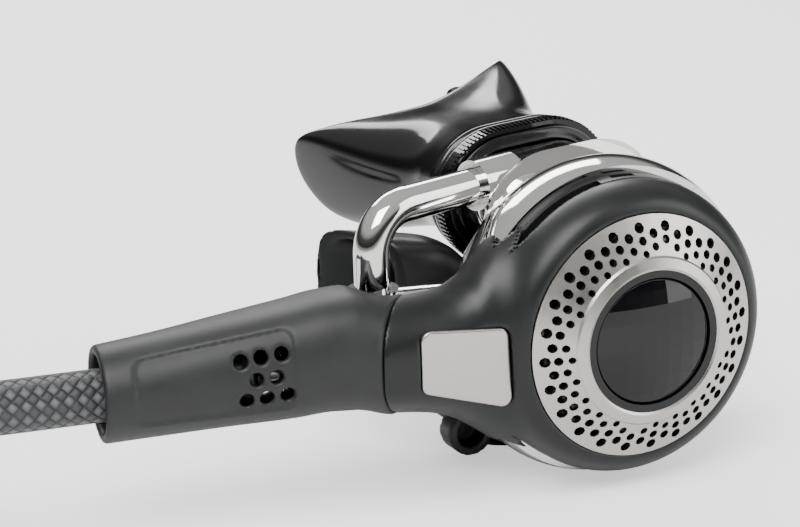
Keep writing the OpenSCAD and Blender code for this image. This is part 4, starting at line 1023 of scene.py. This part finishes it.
# ---------------------------------------------------------------- CAD nodes that stay
def paint_nodes():
    record = frame["record"]
    slots = {s["node"]: s["material_slot"] for s in record["subparts"]}
    for name, obj in frame["nodes"].items():
        if obj.hide_render or obj.type != "MESH":
            continue
        mat = material("badge" if name == "badge_plate" else slots[name])
        obj.data.materials.clear()
        obj.data.materials.append(mat)


# ---------------------------------------------------------------- add-on
class StageSettings(bpy.types.PropertyGroup):
    floor_size: bpy.props.FloatProperty(
        name="Floor size", description="Width of the white table", default=3.0,
        unit="LENGTH", subtype="DISTANCE")
    key: bpy.props.FloatProperty(
        name="Key light", description="Power of the softbox over the hose side", default=11.0, unit="POWER")
    fill: bpy.props.FloatProperty(
        name="Fill light", description="Power of the light on the right", default=4.0, unit="POWER")
    rim: bpy.props.FloatProperty(
        name="Rim light", description="Power of the light behind", default=6.0, unit="POWER")


class SecondStageCamera(bpy.types.Operator):
    """Adds the camera"""
    bl_idname = "second_stage.camera"
    bl_label = "Camera"

    def execute(self, context):
        make_camera()
        return {"FINISHED"}


class SecondStageHose(bpy.types.Operator):
    """Adds the braided hose and its coil"""
    bl_idname = "second_stage.hose"
    bl_label = "Hose"

    def execute(self, context):
        make_hose()
        return {"FINISHED"}


class SecondStageCover(bpy.types.Operator):
    """Adds the moulded front cover and its badge plate"""
    bl_idname = "second_stage.cover"
    bl_label = "Front cover"

    def execute(self, context):
        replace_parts(make_cover(), "front_cover")
        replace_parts(make_badge(), "badge_plate")
        return {"FINISHED"}


class SecondStageSleeve(bpy.types.Operator):
    """Adds the rubber sleeve over the hose's end"""
    bl_idname = "second_stage.sleeve"
    bl_label = "Hose sleeve"

    def execute(self, context):
        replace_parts(make_sleeve(), "hose_sleeve")
        return {"FINISHED"}


class SecondStageTee(bpy.types.Operator):
    """Adds the exhaust tee and the valve under it"""
    bl_idname = "second_stage.tee"
    bl_label = "Exhaust"

    def execute(self, context):
        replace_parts(make_tee(), "exhaust_tee")
        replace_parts(make_exhaust(), "exhaust_valve")
        return {"FINISHED"}


class SecondStageMouthpiece(bpy.types.Operator):
    """Adds the silicone mouthpiece and the teeth of its clamp"""
    bl_idname = "second_stage.mouthpiece"
    bl_label = "Mouthpiece"

    def execute(self, context):
        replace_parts(make_mouthpiece(), "mouthpiece")
        make_teeth()
        return {"FINISHED"}


class SecondStageDiaphragm(bpy.types.Operator):
    """Adds the diaphragm"""
    bl_idname = "second_stage.diaphragm"
    bl_label = "Diaphragm"

    def execute(self, context):
        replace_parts(make_diaphragm(), "diaphragm")
        return {"FINISHED"}


class SecondStageMaterials(bpy.types.Operator):
    """Gives the machined and moulded pieces their materials"""
    bl_idname = "second_stage.materials"
    bl_label = "Materials"

    def execute(self, context):
        paint_nodes()
        return {"FINISHED"}


class SecondStageStudio(bpy.types.Operator):
    """Adds the table, the lights and the room"""
    bl_idname = "second_stage.studio"
    bl_label = "Studio"

    def execute(self, context):
        s = context.scene.second_stage
        make_stage(s.floor_size, s.key, s.fill, s.rim)
        return {"FINISHED"}


STEPS = [SecondStageCamera, SecondStageHose, SecondStageCover, SecondStageSleeve, SecondStageTee,
         SecondStageMouthpiece, SecondStageDiaphragm, SecondStageMaterials, SecondStageStudio]


class SecondStagePanel(bpy.types.Panel):
    """Sidebar panel with one button for each step"""
    bl_idname = "VIEW3D_PT_second_stage"
    bl_label = "Second stage"
    bl_space_type = "VIEW_3D"
    bl_region_type = "UI"
    bl_category = "Second stage"

    def draw(self, context):
        for step in STEPS:
            self.layout.operator(step.bl_idname)
        for name in StageSettings.__annotations__:
            self.layout.prop(context.scene.second_stage, name)


def register():
    for c in [StageSettings, *STEPS, SecondStagePanel]:
        bpy.utils.register_class(c)
    bpy.types.Scene.second_stage = bpy.props.PointerProperty(type=StageSettings)


def unregister():
    del bpy.types.Scene.second_stage
    for c in reversed([StageSettings, *STEPS, SecondStagePanel]):
        bpy.utils.unregister_class(c)


def main():
    register()
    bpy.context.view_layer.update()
    for step in STEPS:
        group, name = step.bl_idname.split(".")
        if getattr(getattr(bpy.ops, group), name)() != {"FINISHED"}:
            raise RuntimeError(f"{step.bl_label} did not finish")


if __name__ == "__main__":
    main()
